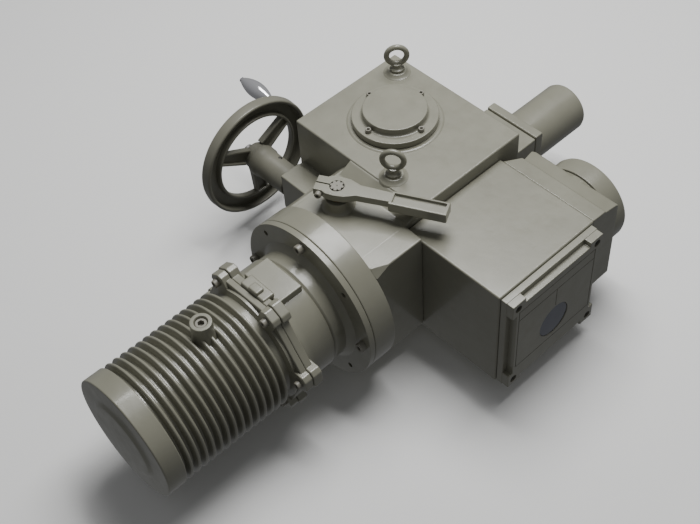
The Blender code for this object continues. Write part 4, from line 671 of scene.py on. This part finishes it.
def motor():
    axis = (AX, 0, AZ)
    face = COLLAR_Y0 - GAP
    profile = [(face + 8, 87.7), (face, 87.7), (face, COLLAR_R - 1.2), (face - 0.8, COLLAR_R),
               (FLANGE_Y0, COLLAR_R), (FLANGE_Y0, 106), (FLANGE_Y0 - 3, 103),
               (FLANGE_Y0 - 6, 99), (FLANGE_Y0 - 9, SPIGOT_R), (GROOVE_RING_Y + 4, SPIGOT_R),
               (GROOVE_RING_Y + GAP, SPIGOT_R - 3), (GROOVE_RING_Y + GAP, 40), (-311, 40),
               (-311, 36.3), (-290, 36.3), (-290, 62), (face + 8, 62)]
    flange = lathe("flange_disc", profile, "Y", axis, FINE, 1.2)
    holes = []
    for k in range(4):
        spare = Vector(axis) + place("Y", 0, FLANGE_BOLT_R, math.pi / 2 * k + math.pi / 4)
        holes.append(lathe("jack_%d" % k, [(FLANGE_Y0 - 5, 0), (FLANGE_Y0 - 5, 4.6),
                                           (FLANGE_Y0 + 9, 4.6), (FLANGE_Y0 + 9, 0)], "Y",
                           spare, SMALL))
    combine(flange, holes, "DIFFERENCE")
    show(flange, ROOT, "case_paint", ["motor_flange"])
    for k in range(4):
        spot = Vector(axis) + place("Y", FLANGE_Y0, FLANGE_BOLT_R, math.pi / 2 * k)
        cap_screw("flange_screw_%d" % (k + 1), "Y", spot, -1, 8.0, 10.2, STEEL_PAINTED,
                  nodes=["motor_flange_screw_%d" % (k + 1)])

    adapter = lathe("adapter_ring", [(GROOVE_RING_Y, 78), (GROOVE_RING_Y, ADAPTER_R - 2),
                                     (GROOVE_RING_Y - 2, ADAPTER_R), (LUG_Y0 + 10, ADAPTER_R),
                                     (LUG_Y0, ADAPTER_R + 3), (LUG_SPLIT + GAP, ADAPTER_R + 3),
                                     (LUG_SPLIT + GAP, 78)], "Y", axis, FINE, 1.0)
    parts = lug_shapes("adapter", LUG_SPLIT + GAP, LUG_Y0, LUG_OUT, LUG_W, LUG_SPLIT + GAP,
                       LUG_Y0 - 4)
    parts.append(box("duct", (AX - 39, AX + 39), (LUG_Y0 + 1, GROOVE_RING_Y - 4),
                     (AZ + 84, AZ + 101), 2.0))
    parts.append(box("duct_step", (AX - 26, AX + 26), (LUG_SPLIT + 1, LUG_Y0 + 6),
                     (AZ + 84, AZ + 108), 2.5))
    parts.append(box("duct_knob", (AX - 8, AX + 12), (LUG_SPLIT + 0.8, LUG_Y0 - 1),
                     (AZ + 84, AZ + 113), 2.5))
    combine(adapter, parts, "UNION")
    bore = lathe("adapter_bore", [(-400, 0), (-400, 78), (-300, 78), (-300, 0)], "Y", axis)
    combine(adapter, [bore], "DIFFERENCE")
    show(adapter, ROOT, "case_paint", ["motor_adapter"])

    profile = [(LUG_SPLIT, MOTOR_BORE), (LUG_SPLIT, ADAPTER_R + 3), (LUG_Y1, ADAPTER_R + 3),
               (LUG_Y1 - 3, FIN_ROOT + 0.5)]
    depth = FIN_R - FIN_ROOT
    shape = ((0.50, 0.0), (0.36, 0.02), (0.29, 0.12), (0.24, 0.45), (0.20, 0.78), (0.14, 0.94),
             (0.06, 1.0), (-0.06, 1.0), (-0.14, 0.94), (-0.20, 0.78), (-0.24, 0.45),
             (-0.29, 0.12), (-0.36, 0.02))
    for k in range(FIN_COUNT):
        y = FIN_FIRST - FIN_PITCH * k
        for share, height in shape:
            profile.append((y + FIN_PITCH * share, FIN_ROOT + depth * height))
    profile += [(MOTOR_END + 3, FIN_ROOT), (MOTOR_END, FIN_ROOT), (MOTOR_END, MOTOR_BORE)]
    body = lathe("finned_body", profile, "Y", axis, FINE)
    parts = lug_shapes("motor", LUG_Y1, LUG_SPLIT, LUG_OUT - 1.5, LUG_W - 4, LUG_Y1 + 5,
                       LUG_SPLIT)
    parts.append(lathe("plug_boss", [(AZ + 85, 0), (AZ + 85, PLUG_R + 3.5),
                                     (AZ + 99, PLUG_R + 0.6), (AZ + 105, PLUG_R),
                                     (AZ + PLUG_TOP, PLUG_R), (AZ + PLUG_TOP, 0)], "Z",
                       (AX, PLUG_Y, 0), ROUND, 1.4))
    combine(body, parts, "UNION")
    holes = [lathe("motor_bore", [(-700, 0), (-700, MOTOR_BORE), (-300, MOTOR_BORE), (-300, 0)],
                   "Y", axis, ROUND),
             lathe("plug_tap", [(AZ + 70, 0), (AZ + 70, 9.4), (AZ + PLUG_TOP - 2, 9.4),
                                (AZ + PLUG_TOP + 2, 12.5), (AZ + PLUG_TOP + 2, 0)], "Z",
                   (AX, PLUG_Y, 0), SMALL)]
    combine(body, holes, "DIFFERENCE")
    ripple(body, 0.55, 30.0)
    show(body, ROOT, "case_paint", ["motor_housing"], angle=40)
    rows = []
    for z, radius, six in ((AZ + 94, 9.0, 0), (AZ + PLUG_TOP - 3.6, 9.0, 0),
                           (AZ + PLUG_TOP - 2.8, 8.2, 0), (AZ + PLUG_TOP - 2.8, 5.4, 1),
                           (AZ + PLUG_TOP - 10, 5.4, 1)):
        row = []
        for angle in turns(HEX_SEGS):
            r = six_sided(radius, angle) if six else radius
            row.append((AX + r * math.cos(angle), PLUG_Y + r * math.sin(angle), z))
        rows.append(row)
    show(stack("socket_plug", rows), ROOT, "black_steel", ["motor_plug"], STEEL_PAINTED, 40)
    for k, angle in enumerate(LUG_ANGLES):
        spot = (AX + LUG_BOLT_R * math.cos(angle), LUG_Y1, AZ + LUG_BOLT_R * math.sin(angle))
        cap_screw("lug_screw_%d" % (k + 1), "Y", spot, -1, 6.5, 8.0, STEEL_PAINTED)

    end = MOTOR_END - GAP
    cover = lathe("end_bell", [(end + 10, 79.7), (end, 79.7), (end, FIN_R - 1.2),
                               (end - 1.2, FIN_R), (END_Y + 1.6, FIN_R),
                               (END_Y + 0.2, FIN_R - 1.2), (END_Y, FIN_R - 3),
                               (END_Y - 0.6, 70), (END_Y - 1.6, 65), (END_Y - 4, 61.5),
                               (END_Y - 4.8, 57), (END_Y - 4.99, 0), (END_Y + 12, 0),
                               (END_Y + 12, 31.3), (END_Y + 30, 31.3), (END_Y + 30, 40),
                               (END_Y + 9, 44), (END_Y + 9, 70), (end + 10, 72)], "Y", axis,
                  FINE, 0.8)
    show(cover, ROOT, "case_paint", ["motor_end_cover"], angle=40)


# ---------------------------------------------------------------- rear tube
def rear_tube():
    axis = (AX, 0, AZ)
    low = BOSS_Y + GAP
    plate = box("tube_plate", (AX - BOSS_HALF, AX + BOSS_HALF), (low, low + TUBE_PLATE),
                (AZ - BOSS_HALF + 4, AZ + BOSS_HALF + 5), 2.2)
    tube = lathe("tube", [(low + 4, 0), (low + 4, TUBE_R + 2.5), (low + TUBE_PLATE + 0.5,
                                                                  TUBE_R + 2.5),
                          (low + TUBE_PLATE + 3.5, TUBE_R), (TUBE_END - 9, TUBE_R),
                          (TUBE_END - 4, TUBE_R - 2), (TUBE_END - 1, TUBE_R - 6),
                          (TUBE_END, TUBE_R - 11), (TUBE_END, 0)], "Y", axis, FINE, 0.8)
    combine(plate, [tube], "UNION")
    core = lathe("tube_core", [(low - 5, 0), (low - 5, 37), (TUBE_END - 8, 37),
                               (TUBE_END - 8, 0)], "Y", axis, ROUND)
    combine(plate, [core], "DIFFERENCE")
    show(plate, ROOT, "case_paint", ["spring_tube"], angle=40)
    number = 0
    for sx in (1, -1):
        for sz in (1, -1):
            number += 1
            spot = (AX + sx * TUBE_BOLT, low + TUBE_PLATE, AZ + sz * TUBE_BOLT)
            cap_screw("tube_screw_%d" % number, "Y", spot, 1, 6.5, 8.0, STEEL_PAINTED)


# ---------------------------------------------------------------- control box
def control():
    shell = box("control_shell", (BOX_X0, BOX_X1), (BOX_Y0, BOX_Y1), (BOX_Z0, BOX_Z1), 3.0, 4)
    core = box("control_core", (BOX_X0 + 10, BOX_X1 + 40), (BOX_Y0 + 10, BOX_Y1 - 10),
               (BOX_Z0 + 10, BOX_Z1 - 10))
    combine(shell, [core], "DIFFERENCE")
    show(shell, ROOT, "case_paint", ["control_box"])

    cover = box("cover_plate", (BOX_X1 + 0.6, BOX_X1 + 12), (COVER_Y0, COVER_Y1),
                (COVER_Z0, COVER_Z1), 1.4)
    a0 = COVER_Y0 + 0.8
    a1 = COVER_Y1 - 0.8
    b0 = COVER_Z0 + 0.8
    b1 = COVER_Z1 - 0.8
    s = CORNER
    p = PANEL_IN
    outline = [(a0, b0), (a0 + s, b0), (a0 + s, b0 + p), (a1 - s, b0 + p), (a1 - s, b0),
               (a1, b0), (a1, b0 + s), (a1 - p, b0 + s), (a1 - p, b1 - s), (a1, b1 - s),
               (a1, b1), (a1 - s, b1), (a1 - s, b1 - p), (a0 + s, b1 - p), (a0 + s, b1),
               (a0, b1), (a0, b1 - s), (a0 + p, b1 - s), (a0 + p, b0 + s), (a0, b0 + s)]
    panel = prism("cover_panel", outline, "X", BOX_X1 + 8, COVER_X1, 1.2)
    combine(cover, [panel], "UNION")
    holes = [box("cover_pocket", (BOX_X1 - 20, COVER_X1 - 8), (a0 + 30, a1 - 30),
                 (b0 + 30, b1 - 30)),
             lathe("window_seat", [(COVER_X1 - 4, 0), (COVER_X1 - 4, WINDOW_R),
                                   (COVER_X1 - 0.8, WINDOW_R), (COVER_X1 + 1, WINDOW_R + 1.8),
                                   (COVER_X1 + 1, 0)], "X", (0, WINDOW_Y, WINDOW_Z), ROUND)]
    # engraved frame lines of the panel
    deep = COVER_X1 - 0.9
    lines = [((a0 + 14, a1 - 14), (b1 - 24, b1 - 22.6)), ((a0 + 14, a1 - 14), (b1 - 44, b1 - 42.6)),
             ((a0 + 14, a1 - 14), (b0 + 40, b0 + 41.4)),
             ((WINDOW_Y - 0.7, WINDOW_Y + 0.7), (WINDOW_Z + WINDOW_R + 5, b1 - 44)),
             ((WINDOW_Y - 0.7, WINDOW_Y + 0.7), (b0 + 41, WINDOW_Z - WINDOW_R - 5)),
             ((a1 - 15.4, a1 - 14), (b0 + 40, b1 - 22.6)),
             ((a0 + 14, a0 + 15.4), (b0 + 40, b1 - 22.6))]
    for k, (ys, zs) in enumerate(lines):
        holes.append(box("panel_line_%d" % k, (deep, COVER_X1 + 5), ys, zs))
    corners = [(y, z) for y in (COVER_Y0 + 13, COVER_Y1 - 13)
               for z in (COVER_Z0 + 13, COVER_Z1 - 13)]
    for k, (y, z) in enumerate(corners):
        holes.append(lathe("corner_sink_%d" % k, [(COVER_X1 - 8, 0), (COVER_X1 - 8, 6.6),
                                                  (COVER_X1 + 5, 6.6), (COVER_X1 + 5, 0)], "X",
                           (0, y, z), SMALL))
    combine(cover, holes, "DIFFERENCE")
    show(cover, ROOT, "case_paint", ["control_cover"])
    for k, (y, z) in enumerate(corners):
        cap_screw("corner_screw_%d" % (k + 1), "X", (COVER_X1 - 8, y, z), 1, 5.2, 6.0,
                  LOOKS["black_steel"])
    glass = lathe("window_pane", [(COVER_X1 - 3.7, 0), (COVER_X1 - 3.7, WINDOW_R - 0.6),
                                  (COVER_X1 - 1.4, WINDOW_R - 0.6), (COVER_X1 - 1.2, 0)], "X",
                  (0, WINDOW_Y, WINDOW_Z), ROUND, 0.3)
    show(glass, ROOT, "window_glass", ["sight_window"])

    slices = ((BOX_Y1 + GAP, 171.5, 232.8), (95.5, 187, 231.2), (97.5, 190, 228.4),
              (122, 184, 224.4), (TERM_Y1, 188, 221.0))
    rows = [[(left, y, TERM_Z0), (TERM_X1, y, TERM_Z0), (TERM_X1, y, high), (left, y, high)]
            for y, left, high in slices]
    term = stack("terminal_shell", rows, 2.4)
    ring = lathe("terminal_ring", [(TERM_Y1 - 12, 0), (TERM_Y1 - 12, 70),
                                   (TERM_Y1 + 10, 70),
                                   (TERM_Y1 + 10, 0)], "Y", (LID_X, 0, LID_Z), FINE, 0.8)
    combine(term, [ring], "UNION")
    core = lathe("terminal_core", [(BOX_Y1 + 12, 0), (BOX_Y1 + 12, 58), (TERM_Y1 + 30, 58),
                                   (TERM_Y1 + 30, 0)], "Y", (LID_X, 0, LID_Z), ROUND)
    gland = lathe("gland_hole", [(TERM_Z0 - 5, 0), (TERM_Z0 - 5, 12), (TERM_Z0 + 60, 12),
                                 (TERM_Z0 + 60, 0)], "Z", (GLAND_X, GLAND_Y, 0), SMALL)
    combine(term, [core, gland], "DIFFERENCE")
    show(term, ROOT, "case_paint", ["terminal_housing"])
    lid = lathe("terminal_lid", [(TERM_Y1 + 10.3, 0), (TERM_Y1 + 10.3, 71),
                                 (TERM_Y1 + 0.6, 71), (TERM_Y1 + 0.6, LID_R - 0.6),
                                 (TERM_Y1 + 1.2, LID_R), (LID_Y1 - 8, LID_R),
                                 (LID_Y1 - 3.5, LID_R - 1.6), (LID_Y1 - 0.8, LID_R - 5),
                                 (LID_Y1, LID_R - 10), (LID_Y1, 0)], "Y", (LID_X, 0, LID_Z),
                FINE, 0.6)
    show(lid, ROOT, "case_paint", ["terminal_cover"], angle=40)
    plug = lathe("gland_plug", [(TERM_Z0 - 14, 0), (TERM_Z0 - 14, 10), (TERM_Z0 - 12, 12),
                                (TERM_Z0 - 8, 16), (TERM_Z0 - GAP, 16), (TERM_Z0 - GAP, 11.5),
                                (TERM_Z0 + 12, 11.5), (TERM_Z0 + 12, 0)], "Z",
                 (GLAND_X, GLAND_Y, 0), ROUND, 0.5)
    show(plug, ROOT, "black_steel", ["cable_plug"])


gear_case()
base_flange()
cover_plate()
for eye_tag, eye_x, eye_y, eye_turn in EYES:
    lifting_eye(eye_tag, eye_x, eye_y, eye_turn)
lever()
hand_wheel()
motor()
rear_tube()
control()

# every CAD node that still shows takes the procedural look of its slot
slot_of = {row["node"]: row["material_slot"] for row in frame["record"]["subparts"]}
for name, obj in frame["nodes"].items():
    if obj.hide_render:
        continue
    obj.data.materials.clear()
    obj.data.materials.append(LOOKS[slot_of[name]])


# ---------------------------------------------------------------- stage, light and camera
def stage_floor():
    mesh = bpy.data.meshes.new("studio_floor")
    size = 8.0
    mesh.from_pydata([(-size, -size, 0), (size, -size, 0), (size, size, 0), (-size, size, 0)],
                     [], [(0, 1, 2, 3)])
    floor = bpy.data.objects.new("studio_floor", mesh)
    floor.location.z = -0.0005
    bpy.context.scene.collection.objects.link(floor)
    mat = bpy.data.materials.new("studio_floor")
    mat.use_nodes = True
    shader = mat.node_tree.nodes["Principled BSDF"]
    shader.inputs["Base Color"].default_value = (0.80, 0.80, 0.79, 1.0)
    shader.inputs["Roughness"].default_value = 0.9
    shader.inputs["Specular IOR Level"].default_value = 0.1
    mesh.materials.append(mat)
    floor.visible_diffuse = False
    floor.visible_glossy = False


def area_light(name, spot, target, power, size, size_y=None):
    data = bpy.data.lights.new(name, "AREA")
    data.energy = power
    data.shape = "RECTANGLE"
    data.size = size
    data.size_y = size_y or size
    lamp = bpy.data.objects.new(name, data)
    lamp.location = spot
    lamp.rotation_mode = "QUATERNION"
    lamp.rotation_quaternion = (Vector(target) - Vector(spot)).to_track_quat("-Z", "Y")
    bpy.context.scene.collection.objects.link(lamp)


stage_floor()
world = bpy.data.worlds.new("studio")
world.use_nodes = True
world.node_tree.nodes["Background"].inputs["Color"].default_value = (0.97, 0.98, 1.0, 1.0)
world.node_tree.nodes["Background"].inputs["Strength"].default_value = 0.19
bpy.context.scene.world = world
area_light("ceiling", (-0.3, 0.8, 2.4), (0.0, 0.0, 0.1), 72.0, 1.8, 1.2)
area_light("strip", (-0.05, 0.35, 2.3), (0.0, 0.0, 0.1), 9.0, 0.7, 0.12)

camera_data = bpy.data.cameras.new("camera")
camera_data.sensor_width = SENSOR_WIDTH
camera_data.lens = LENS
camera = bpy.data.objects.new("camera", camera_data)
turn = Matrix((CAMERA_RIGHT, CAMERA_UP, CAMERA_RIGHT.cross(CAMERA_UP))).transposed().to_4x4()
camera.matrix_world = Matrix.Translation(CAMERA_SPOT) @ turn
bpy.context.scene.collection.objects.link(camera)
bpy.context.scene.camera = camera
